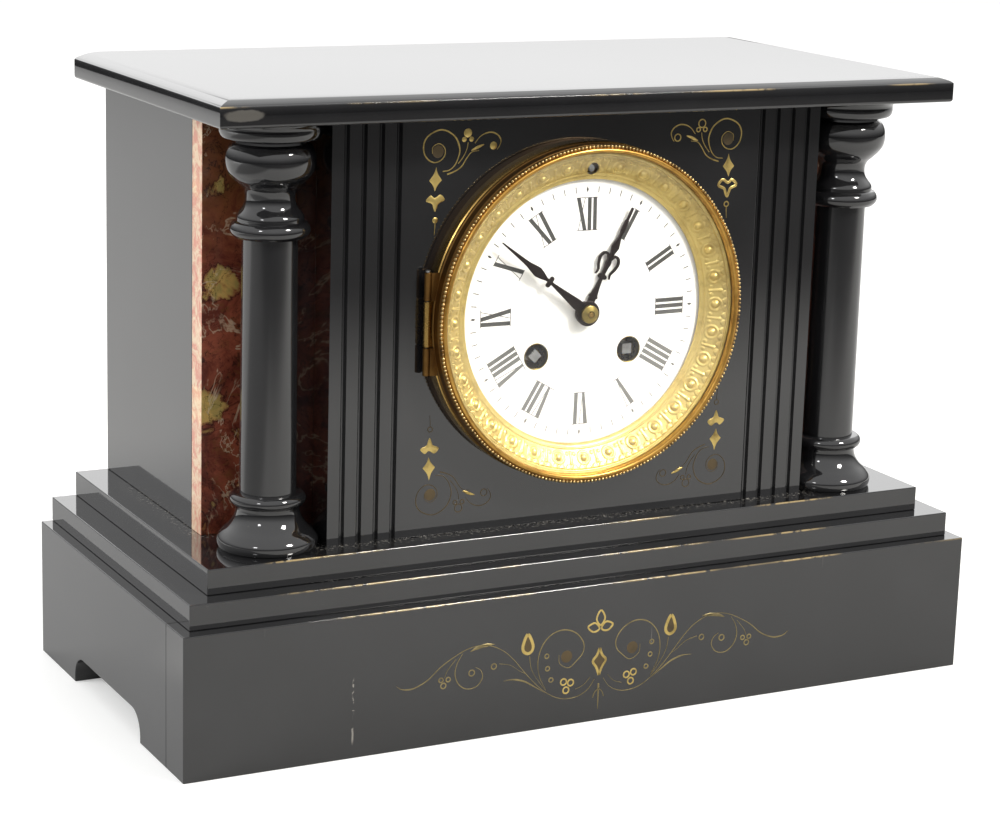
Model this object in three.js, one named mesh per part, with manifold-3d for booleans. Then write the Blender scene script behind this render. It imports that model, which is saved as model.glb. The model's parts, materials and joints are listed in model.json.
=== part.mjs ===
// Black slate mantel clock: a stone case on a hollow base, two turned columns, a hinged
// glazed bezel and a striking eight-day movement. Millimetres, +Z up, the front faces -Y.
// The origin is the middle of the footprint on the surface that the clock stands on.
import * as THREE from 'three';
import { mergeVertices } from 'three/addons/utils/BufferGeometryUtils.js';
import Module from 'manifold-3d';

const wasm = await Module();
wasm.setup();

// Driving dimensions of the case
const baseDepth = 165.5;
const baseHeight = 56.75;
const baseFrontThickness = 18;
const baseSideThickness = 18;
const baseBackThickness = 14;
const archLength = 76.5;
const archHeight = 11.75;
const archCornerRadius = 9;
const archForwardShift = -2;
const baseSideMargin = 4.75;
const lowerStepFrontInset = 6;
const lowerStepSideMargin = 10.25;
const upperStepFrontInset = 8.5;
const stepThickness = 10;
const upperStepSideMargin = 1;
const topFrontOverhang = 8;
const topSideOverhang = 13;
const bodyHeight = 164;
const sideSlabThickness = 12;
const marbleInset = 51;
const marbleThickness = 10;
const panelInset = 18.5;
const panelWidth = 158;
const marblePanelWidth = 38.5;
const panelThickness = 12;
const pilasterWidth = 28.5;
const pilasterThickness = 14;
const fluteCount = 4;
const fluteWidth = 2.25;
const fluteDepth = 1.5;
const cheekThickness = 10;
const backSlabThickness = 10;
const backSlabRecess = 8;
const topLipHeight = 8;
const topBevelWidth = 10.25;
const topBevelRise = 2.5;
const topUnderRounding = 1.25;

// Columns
const columnOffset = 19.75;
const columnInset = 29.75;
const columnBaseHeight = 21.75;
const columnFootRadius = 19.4;
const capitalHeight = 44.5;
const capitalRadius = 19.3;
const shaftBottomRadius = 10.9;
const shaftTopRadius = 10.5;

// Dial and bezel, turned about the dial axis
const fit = 0.3;
const dialAxisShare = 0.51677;
const rimRadius = 67;
const rimOverlap = 6;
const seatSleeveWall = 1.5;
const seatSleeveDepth = 9;
const seatFlangeThickness = 3.2;
const rimWall = 2.8;
const rimFace = 11.75;
const rimLip = 0.7;
const glassThickness = 2.6;
const glassBack = 8.1;
const glassBevel = 6;
const glassEdgeShare = 0.5;
const sightThickness = 0.8;
const sightRingWidth = 14.7;
const sightInnerFace = 2.1;
const dialPlateBack = -2.3;
const dialPlateThickness = 1.5;
const dialFootRadius = 1.6;
const enamelTuck = 2.2;
const enamelEdgeThickness = 1.3;
const enamelDome = 1.2;
const enamelCentreHoleRadius = 3.4;
const windingHoleRadius = 5.2;
const bezelHingeOffset = 1.75;
const bezelKnuckleRadius = 1.4;
const bezelPinRadius = 0.6;
const bezelPinHeadShare = 0.75;
const bezelHingeHalfLength = 20;
const bezelMiddleHalfLength = 9;

// Hands
const minuteHandMargin = 5.9;
const minuteHandThickness = 0.7;
const minuteHandFace = 5;
const minuteBossRadius = 5;
const hourHandMargin = 9.8;
const hourHandThickness = 0.8;
const hourHandFace = 3.2;
const hourBossRadius = 4.6;
const nutRadius = 3.6;
const nutFace = 7.7;
const nutShoulderShare = 0.45;
const nutTopShare = 0.6;
const minuteHandAngle = THREE.MathUtils.degToRad(-52);
const hourHandAngle = THREE.MathUtils.degToRad(25.7);

// Movement plates and wheels
const plateRadius = 44.5;
const plateThickness = 2.2;
const frontPlateFace = -10;
const plateGap = 34;
const pillarRadius = 2;
const arborRadius = 1.3;
const pivotRadius = 0.8;
const pivotHoleRadius = 1.2;
const barrelSpacing = 41;
const barrelDrop = 16.25;
const barrelRadius = 16;
const barrelLength = 16;
const barrelWall = 1.2;
const winderRadius = 2.85;
const winderSquare = 4;
const winderTip = 0.3;
const winderSquareLength = 5.1;
const springTurns = 3;
const springThickness = 0.7;
const wheelThickness = 1.4;
const lightWheelThickness = 1.2;
const regulatorOffset = 4.3;
const regulatorArborRadius = 1.2;
const regulatorTip = 3.5;

// Striking work, pendulum and back fittings
const bellRadius = 27;
const bellDepth = 20;
const bellWall = 1.2;
const pendulumRodRadius = 0.9;
const bobFloorClearance = 7.25;
const bobRadius = 14;
const bobThickness = 8;
const strapWidth = 8;
const strapThickness = 1.5;
const backHoleStep = 5;
const backFlangeOverlap = 4;
const backFlangeThickness = 2.5;
const backSleeveWall = 3;
const doorRimInset = 2;
const doorThickness = 1.5;
const doorKnuckleRadius = 1.6;
const doorPinRadius = 0.7;

// Facet counts: the rings in sight are finer than the hidden ones
const ringSides = 36;
const columnSides = 18;
const drumSides = 16;
const springSteps = 10;
const arborSides = 8;
const smallSides = 6;
const hammerSides = 10;
const knobSides = 12;
const cutOverrun = 1;

// Widths, depths, levels, planes and radii that follow from the sizes above
const pilasterInner = panelWidth / 2;
const pilasterOuter = pilasterInner + pilasterWidth;
const bodyWidth = 2 * (pilasterOuter + marblePanelWidth);
const topWidth = bodyWidth + 2 * topSideOverhang;
const upperStepWidth = topWidth + 2 * upperStepSideMargin;
const lowerStepWidth = upperStepWidth + 2 * lowerStepSideMargin;
const baseWidth = lowerStepWidth + 2 * baseSideMargin;
const lowerStepDepth = baseDepth - lowerStepFrontInset;
const upperStepDepth = lowerStepDepth - upperStepFrontInset;
const topDepth = upperStepDepth + topFrontOverhang;
const panelSetback = topDepth - panelInset;
const marbleSetback = topDepth - marbleInset;
const columnSetback = topDepth - columnInset;
const dialAxisHeight = bodyHeight * dialAxisShare;
const panelHoleRadius = rimRadius - rimOverlap;
const sightOpeningRadius = rimRadius - sightRingWidth;
const enamelRadius = sightOpeningRadius + enamelTuck;
const regulatorRadius = sightOpeningRadius + regulatorOffset;
const minuteHandLength = enamelRadius - minuteHandMargin;
const hourHandLength = enamelRadius - hourHandMargin;
const backHoleRadius = panelHoleRadius - backHoleStep;
const backFlangeRadius = backHoleRadius + backFlangeOverlap;
const doorRadius = backFlangeRadius - doorRimInset;
const backY = baseDepth / 2;
const lowerStepZ = baseHeight;
const upperStepZ = lowerStepZ + stepThickness;
const floorZ = upperStepZ + stepThickness;
const ceilingZ = floorZ + bodyHeight;
const panelY = backY - panelSetback;
const marbleY = backY - marbleSetback;
const columnX = pilasterOuter + columnOffset;
const columnY = backY - columnSetback;

// Turn a geometry into a closed solid with its faces pointing outwards
function solid(geometry) {
  const bare = geometry.clone();
  bare.deleteAttribute('normal');
  bare.deleteAttribute('uv');
  const merged = mergeVertices(bare);
  const points = merged.attributes.position.array;
  const corners = merged.index.array;
  const kept = [];
  let volume = 0;
  const a = new THREE.Vector3();
  const b = new THREE.Vector3();
  const c = new THREE.Vector3();
  for (let i = 0; i < corners.length; i += 3) {
    const [p, q, r] = [corners[i], corners[i + 1], corners[i + 2]];
    if (p !== q && q !== r && r !== p) {
      kept.push(p, q, r);
      a.fromArray(points, 3 * p);
      b.fromArray(points, 3 * q);
      c.fromArray(points, 3 * r);
      volume += a.dot(b.cross(c));
    }
  }
  if (volume < 0) {
    kept.reverse();
  }
  return new wasm.Manifold(new wasm.Mesh({
    numProp: 3,
    vertProperties: new Float32Array(points),
    triVerts: new Uint32Array(kept),
  }));
}

function join(first, ...others) {
  return others.reduce((body, other) => body.add(other), first);
}

function cut(first, ...others) {
  return others.reduce((body, other) => body.subtract(other), first);
}

function geometryOf(body) {
  const mesh = body.getMesh();
  const geometry = new THREE.BufferGeometry();
  geometry.setAttribute('position', new THREE.BufferAttribute(mesh.vertProperties, 3));
  geometry.setIndex(new THREE.BufferAttribute(mesh.triVerts, 1));
  geometry.computeVertexNormals();
  return geometry;
}

// A rectangular slab between two corners
function block(xs, ys, zs) {
  const geometry = new THREE.BoxGeometry(xs[1] - xs[0], ys[1] - ys[0], zs[1] - zs[0]);
  geometry.translate((xs[0] + xs[1]) / 2, (ys[0] + ys[1]) / 2, (zs[0] + zs[1]) / 2);
  return solid(geometry);
}

function shapeOf(points) {
  return new THREE.Shape(points.map(([u, v]) => new THREE.Vector2(u, v)));
}

// An outline in X and Y raised along Z
function upright(outline, z0, z1) {
  const geometry = new THREE.ExtrudeGeometry(outline, { depth: z1 - z0, bevelEnabled: false });
  geometry.translate(0, 0, z0);
  return solid(geometry);
}

// An outline in Y and Z drawn along X
function sideways(outline, x0, x1, curveSegments = 3) {
  const settings = { depth: x1 - x0, bevelEnabled: false, curveSegments };
  const geometry = new THREE.ExtrudeGeometry(outline, settings);
  const turn = new THREE.Matrix4();
  turn.makeBasis(new THREE.Vector3(0, 1, 0), new THREE.Vector3(0, 0, 1), new THREE.Vector3(1, 0, 0));
  geometry.applyMatrix4(turn);
  geometry.translate(x0, 0, 0);
  return solid(geometry);
}

// An outline in X and Z drawn along Y
function flat(outline, y0, y1, curveSegments = 3) {
  const settings = { depth: y1 - y0, bevelEnabled: false, curveSegments };
  const geometry = new THREE.ExtrudeGeometry(outline, settings);
  geometry.rotateX(Math.PI / 2);
  geometry.translate(0, y1, 0);
  return solid(geometry);
}

// A round bar along Y, the direction of the dial axis
function bar(x, z, radius, y0, y1, sides = arborSides) {
  const geometry = new THREE.CylinderGeometry(radius, radius, y1 - y0, sides);
  geometry.translate(x, (y0 + y1) / 2, z);
  return solid(geometry);
}

// A round bar along Z
function post(x, y, radius, z0, z1, sides = arborSides) {
  const geometry = new THREE.CylinderGeometry(radius, radius, z1 - z0, sides);
  geometry.rotateX(Math.PI / 2);
  geometry.translate(x, y, (z0 + z1) / 2);
  return solid(geometry);
}

// A profile of radius and place along Y, turned about the Y axis
function turned(profile, sides) {
  const points = profile.map(([radius, y]) => new THREE.Vector2(radius, y));
  return solid(new THREE.LatheGeometry(points, sides));
}

// The same for a ring, whose profile closes on itself
function turnedRing(profile, sides) {
  return turned([...profile, profile[0]], sides);
}

// A profile of radius and height, turned about the Z axis
function turnedUpright(profile, sides) {
  const points = profile.map(([radius, z]) => new THREE.Vector2(radius, z));
  const geometry = new THREE.LatheGeometry(points, sides);
  geometry.rotateX(Math.PI / 2);
  return solid(geometry);
}

const finishes = {
  slate: { color: 0x2b2c2c, roughness: 0.12, metalness: 0 },
  marble: { color: 0x7b3b2a, roughness: 0.25, metalness: 0 },
  gilt: { color: 0xc79a45, roughness: 0.35, metalness: 1 },
  brass: { color: 0xb5904a, roughness: 0.35, metalness: 1 },
  steel: { color: 0x8c8f92, roughness: 0.35, metalness: 1 },
  bluedSteel: { color: 0x15161c, roughness: 0.3, metalness: 0.6 },
  enamel: { color: 0xf4f2ea, roughness: 0.15, metalness: 0 },
  bellMetal: { color: 0xa9a08c, roughness: 0.3, metalness: 1 },
};

function material(finish) {
  return new THREE.MeshStandardMaterial(finishes[finish]);
}

const glassMaterial = new THREE.MeshStandardMaterial({
  color: 0xe8f0ee,
  roughness: 0.03,
  metalness: 0,
  transparent: true,
  opacity: 0.15,
});

function mesh(name, body, look) {
  const piece = new THREE.Mesh(geometryOf(body), look instanceof THREE.Material ? look : material(look));
  piece.name = name;
  return piece;
}

const clock = new THREE.Group();

// The dial group's origin is where the dial axis meets the panel face; forward is -Y
const dialGroup = new THREE.Group();
dialGroup.position.set(0, panelY, floorZ + dialAxisHeight);

// The movement group's origin is on the inner face of the front plate; +Y goes backwards
const movementGroup = new THREE.Group();
const frontPlateInner = plateThickness - frontPlateFace;
movementGroup.position.set(0, frontPlateInner, 0);
dialGroup.add(movementGroup);
clock.add(dialGroup);

// Depths of the back fittings, in the movement group
const backPlateOuter = plateGap + plateThickness;
const slabFaceInMovement = backY - backSlabRecess - panelY - frontPlateInner;

// The hollow base of four slabs with an arch under each side
function base() {
  const half = baseWidth / 2;
  const inner = half - baseSideThickness;
  const frontSlabBack = baseFrontThickness - backY;
  const backSlabFront = backY - baseBackThickness;
  const archMiddle = -archForwardShift;
  const archFront = archMiddle - archLength / 2;
  const archBack = archMiddle + archLength / 2;
  const side = new THREE.Shape();
  side.moveTo(frontSlabBack, 0);
  side.lineTo(archFront, 0);
  side.lineTo(archFront, archHeight - archCornerRadius);
  side.absarc(archFront + archCornerRadius, archHeight - archCornerRadius, archCornerRadius,
    Math.PI, Math.PI / 2, true);
  side.lineTo(archBack - archCornerRadius, archHeight);
  side.absarc(archBack - archCornerRadius, archHeight - archCornerRadius, archCornerRadius,
    Math.PI / 2, 0, true);
  side.lineTo(archBack, 0);
  side.lineTo(backY, 0);
  side.lineTo(backY, baseHeight);
  side.lineTo(frontSlabBack, baseHeight);
  const zs = [0, baseHeight];
  clock.add(mesh('base_front_slab', block([-half, half], [-backY, frontSlabBack], zs), 'slate'));
  clock.add(mesh('base_left_slab', sideways(side, -half, -inner), 'slate'));
  clock.add(mesh('base_right_slab', sideways(side, inner, half), 'slate'));
  clock.add(mesh('base_back_slab', block([-inner, inner], [backSlabFront, backY], zs), 'slate'));
}

function steps() {
  const lower = block([-lowerStepWidth / 2, lowerStepWidth / 2], [backY - lowerStepDepth, backY],
    [lowerStepZ, upperStepZ]);
  const upper = block([-upperStepWidth / 2, upperStepWidth / 2], [backY - upperStepDepth, backY],
    [upperStepZ, floorZ]);
  clock.add(mesh('lower_step', lower, 'slate'));
  clock.add(mesh('upper_step', upper, 'slate'));
}

// One flute is a V cut beside each flat band of a pilaster, counted from its outer edge
function pilaster(side) {
  const pitch = pilasterWidth / fluteCount;
  const band = pitch - fluteWidth;
  const points = [[side * pilasterOuter, panelY + pilasterThickness], [side * pilasterOuter, panelY]];
  for (let i = 0; i < fluteCount; i += 1) {
    const start = pilasterOuter - i * pitch - band;
    points.push([side * start, panelY]);
    points.push([side * (start - fluteWidth / 2), panelY + fluteDepth]);
    points.push([side * (start - fluteWidth), panelY]);
  }
  points.push([side * pilasterInner, panelY + pilasterThickness]);
  return upright(shapeOf(points), floorZ, ceilingZ);
}

function body() {
  const half = bodyWidth / 2;
  const zs = [floorZ, ceilingZ];
  const marbleBack = marbleY + marbleThickness;
  const cheekInner = pilasterOuter - cheekThickness;
  const pilasterBack = panelY + pilasterThickness;
  const slabBack = backY - backSlabRecess;
  for (const [label, side] of [['left', -1], ['right', 1]]) {
    const span = (a, b) => [Math.min(side * a, side * b), Math.max(side * a, side * b)];
    const wall = block(span(half - sideSlabThickness, half), [marbleBack, backY], zs);
    const marble = block(span(pilasterOuter, half), [marbleY, marbleBack], zs);
    const cheek = block(span(cheekInner, pilasterOuter), [pilasterBack, marbleBack], zs);
    clock.add(mesh(`${label}_side_slab`, wall, 'slate'));
    clock.add(mesh(`${label}_marble_panel`, marble, 'marble'));
    clock.add(mesh(`${label}_cheek`, cheek, 'slate'));
    clock.add(mesh(`${label}_pilaster`, pilaster(side), 'slate'));
  }
  const dialZ = floorZ + dialAxisHeight;
  const panel = block([-pilasterInner, pilasterInner], [panelY, panelY + panelThickness], zs);
  const hole = bar(0, dialZ, panelHoleRadius, panelY - cutOverrun, panelY + panelThickness + cutOverrun,
    ringSides);
  clock.add(mesh('dial_panel', cut(panel, hole), 'slate'));
  const slabHalf = half - sideSlabThickness;
  const slab = block([-slabHalf, slabHalf], [slabBack - backSlabThickness, slabBack], zs);
  const backHole = bar(0, dialZ, backHoleRadius, slabBack - backSlabThickness - cutOverrun,
    slabBack + cutOverrun, ringSides);
  clock.add(mesh('back_slab', cut(slab, backHole), 'slate'));
}

// The top slab is the overlap of its front section drawn across and its end section drawn back,
// so that its hollow bevel meets in mitres at the front corners
const bevelRunShares = [0, 0.25, 0.6, 1];
const bevelRiseShares = [0, 0.42, 0.8, 1];
function topSlab() {
  const lipZ = ceilingZ + topLipHeight;
  const front = backY - topDepth;
  const half = topWidth / 2;
  const edge = (inset, z) => [front + inset, z];
  const frontSection = [
    [backY, ceilingZ],
    edge(topUnderRounding, ceilingZ),
    edge(0, ceilingZ + topUnderRounding),
    ...bevelRunShares.map((run, i) => edge(run * topBevelWidth, lipZ + bevelRiseShares[i] * topBevelRise)),
    [backY, lipZ + topBevelRise],
  ];
  const rightEnd = [
    [half - topUnderRounding, ceilingZ],
    [half, ceilingZ + topUnderRounding],
    ...bevelRunShares.map((run, i) => [
      half - run * topBevelWidth, lipZ + bevelRiseShares[i] * topBevelRise,
    ]),
  ];
  const leftEnd = rightEnd.map(([x, z]) => [-x, z]).reverse();
  const across = sideways(shapeOf(frontSection), -half - cutOverrun, half + cutOverrun);
  const through = flat(shapeOf([...rightEnd, ...leftEnd]), front - cutOverrun, backY);
  clock.add(mesh('top_slab', across.intersect(through), 'slate'));
}

// Column profiles as shares of the greatest radius and of the height, from bottom to top
const columnBaseShares = [
  [0, 0], [0.95, 0], [1, 0.12], [0.985, 0.2], [0.9, 0.3], [0.76, 0.42], [0.665, 0.55], [0.625, 0.68],
  [0.63, 0.76], [0.7, 0.79], [0.755, 0.88], [0.72, 0.96], [0.6, 1], [0, 1],
];
const capitalShares = [
  [0, 0], [0.7, 0], [0.787, 0.06], [0.75, 0.125], [0.66, 0.15], [0.64, 0.185], [0.52, 0.26],
  [0.487, 0.335], [0.53, 0.4], [0.76, 0.5], [0.87, 0.59], [0.88, 0.67], [0.83, 0.74], [0.69, 0.79],
  [0.7, 0.815], [0.92, 0.835], [1, 0.88], [1, 1], [0, 1],
];
function column(label, side) {
  const profile = (shares, radius, height) => shares.map(([r, h]) => [r * radius, h * height]);
  const shaftHeight = bodyHeight - columnBaseHeight - capitalHeight;
  const shaft = [[0, 0], [shaftBottomRadius, 0], [shaftTopRadius, shaftHeight], [0, shaftHeight]];
  const stack = [
    ['base', profile(columnBaseShares, columnFootRadius, columnBaseHeight), 0],
    ['shaft', shaft, columnBaseHeight],
    ['capital', profile(capitalShares, capitalRadius, capitalHeight), columnBaseHeight + shaftHeight],
  ];
  const group = new THREE.Group();
  group.position.set(side * columnX, columnY, floorZ);
  for (const [part, points, height] of stack) {
    const piece = mesh(`${label}_column_${part}`, turnedUpright(points, columnSides), 'slate');
    piece.position.z = height;
    group.add(piece);
  }
  clock.add(group);
}

// The bezel: a seat ring let into the panel and a hinged rim that holds the glass and sight ring
const bezelHingeX = -rimRadius - bezelHingeOffset;
const bezelHingeY = -seatFlangeThickness - fit / 2;
const rimBack = seatFlangeThickness + fit;
const rebateRadius = rimRadius - rimWall;
const glassRadius = rebateRadius - fit;

function bezelKnuckle(z0, z1, leafFront, leafBack, leafEdge) {
  const barrel = post(bezelHingeX, bezelHingeY, bezelKnuckleRadius, z0, z1);
  const leaf = block([bezelHingeX, leafEdge], [leafFront, leafBack], [z0, z1]);
  return join(barrel, leaf);
}

// Run inwards and fall backwards of the sight ring's face, from its flat edge to its opening
const sightProfileShares = [[0, 0], [0.14, 0.02], [0.55, 0.48], [0.88, 0.92], [1, 1]];

function bezel() {
  const sleeveOuter = panelHoleRadius - fit;
  const sleeveInner = sleeveOuter - seatSleeveWall;
  const flangeRadius = rimRadius + fit;
  const pinHole = post(bezelHingeX, bezelHingeY, bezelPinRadius + fit, -bezelHingeHalfLength - cutOverrun,
    bezelHingeHalfLength + cutOverrun);
  const seat = turnedRing([
    [sleeveInner, seatSleeveDepth], [sleeveOuter, seatSleeveDepth], [sleeveOuter, 0], [flangeRadius, 0],
    [flangeRadius, -seatFlangeThickness], [sleeveInner, -seatFlangeThickness],
  ], ringSides);
  const middle = bezelMiddleHalfLength - fit / 2;
  const seatLeaf = bezelKnuckle(-middle, middle, -seatFlangeThickness, -fit, -rimRadius + seatSleeveWall);
  dialGroup.add(mesh('bezel_seat_ring', cut(join(seat, seatLeaf), pinHole), 'brass'));

  const lipRadius = rebateRadius - rimLip;
  const bevelUnderLip = glassEdgeShare + (1 - glassEdgeShare) * (glassRadius - lipRadius) / glassBevel;
  const lipBack = glassBack + glassThickness * bevelUnderLip + fit / 2;
  const rim = turnedRing([
    [rebateRadius, -rimBack], [rimRadius, -rimBack], [rimRadius, -rimFace + rimLip],
    [rimRadius - rimLip, -rimFace], [rimRadius - rimWall / 2, -rimFace + rimLip],
    [lipRadius + rimLip, -rimFace],
    [lipRadius, -rimFace + rimLip / 2], [lipRadius, -lipBack], [rebateRadius, -lipBack],
  ], ringSides);
  const leafFront = -rimBack - bezelKnuckleRadius;
  const leafEdge = -rebateRadius + rimLip;
  const low = bezelKnuckle(-bezelHingeHalfLength, -middle - fit, leafFront, -rimBack, leafEdge);
  const high = bezelKnuckle(middle + fit, bezelHingeHalfLength, leafFront, -rimBack, leafEdge);
  dialGroup.add(mesh('bezel_rim', cut(join(rim, low, high), pinHole), 'gilt'));

  const pinHead = bezelKnuckleRadius * bezelPinHeadShare;
  const pin = join(
    post(bezelHingeX, bezelHingeY, bezelPinRadius, -bezelHingeHalfLength, bezelHingeHalfLength + fit * 2),
    post(bezelHingeX, bezelHingeY, pinHead, bezelHingeHalfLength + fit, bezelHingeHalfLength + pinHead),
  );
  dialGroup.add(mesh('bezel_hinge_pin', pin, 'steel'));

  const glassFront = glassBack + glassThickness;
  const glass = turned([
    [0, -glassBack], [glassRadius, -glassBack],
    [glassRadius, -glassBack - glassThickness * glassEdgeShare],
    [glassRadius - glassBevel, -glassFront], [0, -glassFront],
  ], ringSides);
  dialGroup.add(mesh('bezel_glass', glass, glassMaterial));

  const sightEdge = glassBack - fit;
  const sightFall = sightEdge - sightInnerFace;
  const sightRun = glassRadius - sightOpeningRadius;
  const sightFace = sightProfileShares.map(([run, fall]) => [
    glassRadius - run * sightRun, -(sightEdge - fall * sightFall),
  ]);
  const sightBack = sightFace.map(([radius, y]) => [radius, y + sightThickness]).reverse();
  const sight = turnedRing([...sightFace, ...sightBack], ringSides);
  const regulatorHole = bar(0, regulatorRadius, regulatorArborRadius * 2, -glassBack, 0);
  dialGroup.add(mesh('sight_ring', cut(sight, regulatorHole), 'gilt'));
}

// Angles, clockwise from XII, of the three feet that carry the dial plate on the front plate
const dialFootAngles = [60, 180, 300].map((angle) => THREE.MathUtils.degToRad(angle));
const dialFootCircle = plateRadius - 2 * dialFootRadius;
const domeMiddleShare = 0.7;

function dial() {
  const plateRim = panelHoleRadius - fit - seatSleeveWall - fit;
  const plateFace = dialPlateBack + dialPlateThickness;
  const through = [-plateFace - cutOverrun, -dialPlateBack + cutOverrun];
  const feet = dialFootAngles.map((angle) => bar(dialFootCircle * Math.sin(angle),
    dialFootCircle * Math.cos(angle), dialFootRadius, -dialPlateBack - dialPlateThickness / 2,
    -frontPlateFace));
  const plate = cut(
    bar(0, 0, plateRim, -plateFace, -dialPlateBack, ringSides),
    bar(0, 0, enamelCentreHoleRadius + fit, ...through),
    bar(barrelSpacing / 2, -barrelDrop, windingHoleRadius + fit, ...through, drumSides),
    bar(-barrelSpacing / 2, -barrelDrop, windingHoleRadius + fit, ...through, drumSides),
    bar(0, regulatorRadius, regulatorArborRadius + fit, ...through),
  );
  dialGroup.add(mesh('dial_plate', join(plate, ...feet), 'brass'));

  const edge = plateFace + enamelEdgeThickness;
  const domeAt = (share) => [enamelRadius * share, -edge - enamelDome * (1 - share * share)];
  const enamel = turnedRing([
    [enamelCentreHoleRadius, -plateFace], [enamelRadius, -plateFace], domeAt(1), domeAt(domeMiddleShare),
    domeAt(enamelCentreHoleRadius / enamelRadius),
  ], ringSides);
  const holes = [-1, 1].map((side) => bar(side * barrelSpacing / 2, -barrelDrop, windingHoleRadius,
    -edge - enamelDome - cutOverrun, -plateFace + cutOverrun, drumSides));
  dialGroup.add(mesh('enamel_dial', cut(enamel, ...holes), 'enamel'));
}

// Half outlines of the hands. The root lies inside the boss and is given in shares of its radius,
// half width first. From there to the tip each point is a share of the length, then its half width
// in shares of the boss radius
const minuteHandRootShares = [0.62, 0.8748];
const hourHandRootShares = [0.34, 0.87457];
const minuteHandShares = [
  [0.15, 0.56], [0.3, 0.28], [0.43, 0.13], [0.435, 0.5], [0.465, 0.5], [0.47, 0.13],
  [0.5, 0.15], [0.575, 0.44], [0.605, 0.46], [0.75, 0.2], [1, 0.05],
];
const hourHandShares = [
  [0.15, 0.33], [0.16, 0.42], [0.2, 0.34], [0.33, 0.15], [0.335, 0.44], [0.36, 0.44],
  [0.365, 0.15], [0.44, 0.3], [0.47, 0.62], [0.52, 0.4], [0.54, 0.17], [0.6, 0.38], [0.66, 0.36],
  [0.72, 0.22], [0.73, 0.26], [0.83, 0.19], [0.84, 0.12], [1, 0.08],
];
function handOutline(rootShares, shares, length, bossRadius) {
  const root = rootShares.map((share) => share * bossRadius);
  const right = [root, ...shares.map(([along, across]) => [across * bossRadius, along * length])];
  const left = right.map(([x, z]) => [-x, z]).reverse();
  return shapeOf([...right, ...left]);
}

// Levels in front of the panel: the centre arbor carries the minute hand, the hour pipe the hour hand
const handSeatRadius = 1.1;
const cannonPipeRadius = 1.9;
const hourPipeRadius = 3;
const hourSeatRadius = 2.6;

function hands() {
  const minuteBack = minuteHandFace - minuteHandThickness;
  const minuteOutline = handOutline(minuteHandRootShares, minuteHandShares, minuteHandLength,
    minuteBossRadius);
  const minuteBlade = flat(minuteOutline, -minuteHandFace, -minuteBack);
  const minuteBoss = bar(0, 0, minuteBossRadius, -minuteHandFace, -minuteBack, drumSides);
  const seat = bar(0, 0, handSeatRadius + fit, -nutFace, 0);
  const minuteHand = mesh('minute_hand', cut(join(minuteBlade, minuteBoss), seat), 'bluedSteel');
  minuteHand.rotation.y = minuteHandAngle;
  dialGroup.add(minuteHand);

  const hourBack = hourHandFace - hourHandThickness;
  const hourOutline = handOutline(hourHandRootShares, hourHandShares, hourHandLength, hourBossRadius);
  const hourBlade = flat(hourOutline, -hourHandFace, -hourBack);
  const hourBoss = bar(0, 0, hourBossRadius, -hourHandFace, -hourBack, drumSides);
  const hourSeat = bar(0, 0, hourSeatRadius + fit, -hourHandFace - cutOverrun, 0, drumSides);
  const hourHand = mesh('hour_hand', cut(join(hourBlade, hourBoss), hourSeat), 'bluedSteel');
  hourHand.rotation.y = hourHandAngle;
  dialGroup.add(hourHand);

  const nutBack = minuteHandFace + fit;
  const nutShoulder = nutBack + (nutFace - nutBack) * nutShoulderShare;
  const nut = turnedRing([
    [handSeatRadius + fit, -nutBack], [nutRadius, -nutBack], [nutRadius, -nutShoulder],
    [nutRadius * nutTopShare, -nutFace + fit * 2], [handSeatRadius + fit, -nutFace + fit],
  ], drumSides);
  dialGroup.add(mesh('hand_nut', nut, 'brass'));
}

// A toothed wheel lying in X and Z. Teeth are pointed; between them lies a flat root when the
// gap share is under 1, or a plain notch when it is 1
const toothTipShare = 0.8;
const toothRootShare = 1.05;
const pinionRootShare = 0.72;
const motionRootShare = 0.7;
const escapePinionRootShare = 0.4;
const escapeGapShare = 0.55;
const escapeToothShare = 2.6;
const pitchForTip = (tipRadius, teeth) => tipRadius / (1 + 2 * toothTipShare / teeth);
function toothed(teeth, pitchRadius, y0, y1, gapShare, tipShare = toothTipShare,
  rootShare = toothRootShare) {
  const size = 2 * pitchRadius / teeth;
  const tip = pitchRadius + tipShare * size;
  const root = pitchRadius - rootShare * size;
  const pitchAngle = 2 * Math.PI / teeth;
  const points = [];
  const at = (radius, angle) => points.push([radius * Math.sin(angle), radius * Math.cos(angle)]);
  for (let i = 0; i < teeth; i += 1) {
    const middle = i * pitchAngle;
    if (gapShare < 1) {
      at(root, middle - pitchAngle * gapShare / 2);
      at(tip, middle);
      at(root, middle + pitchAngle * gapShare / 2);
    } else {
      at(tip, middle);
      at(root, middle + pitchAngle / 2);
    }
  }
  return flat(shapeOf(points), y0, y1);
}

// Turn, about the axis of a follower, that puts one of its gaps where the driver's tooth is.
// Angles run clockwise from XII, seen from the front
function meshTurn(driver, follower) {
  const line = Math.atan2(follower.x - driver.x, follower.z - driver.z);
  const lead = (line - driver.turn) * driver.teeth / follower.pinion;
  return line + Math.PI + lead + Math.PI / follower.pinion;
}

// Where an arbor stands: at the two given distances from two others, on the chosen side
function between(a, distanceA, b, distanceB, side) {
  const dx = b.x - a.x;
  const dz = b.z - a.z;
  const span = Math.hypot(dx, dz);
  const along = (distanceA ** 2 - distanceB ** 2 + span ** 2) / (2 * span);
  const off = side * Math.sqrt(distanceA ** 2 - along ** 2);
  return { x: a.x + (along * dx - off * dz) / span, z: a.z + (along * dz + off * dx) / span };
}

// Tooth counts
const barrelTeeth = 36;
const secondTeeth = 36;
const centreTeeth = 42;
const thirdTeeth = 36;
const escapeTeeth = 20;
const strikeSecondTeeth = 30;
const pinWheelTeeth = 30;
const pinionLeaves = 6;
const cannonTeeth = 10;
const minuteWheelTeeth = 30;
const minutePinionTeeth = 8;
const hourWheelTeeth = 32;
const pinCount = 8;

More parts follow.
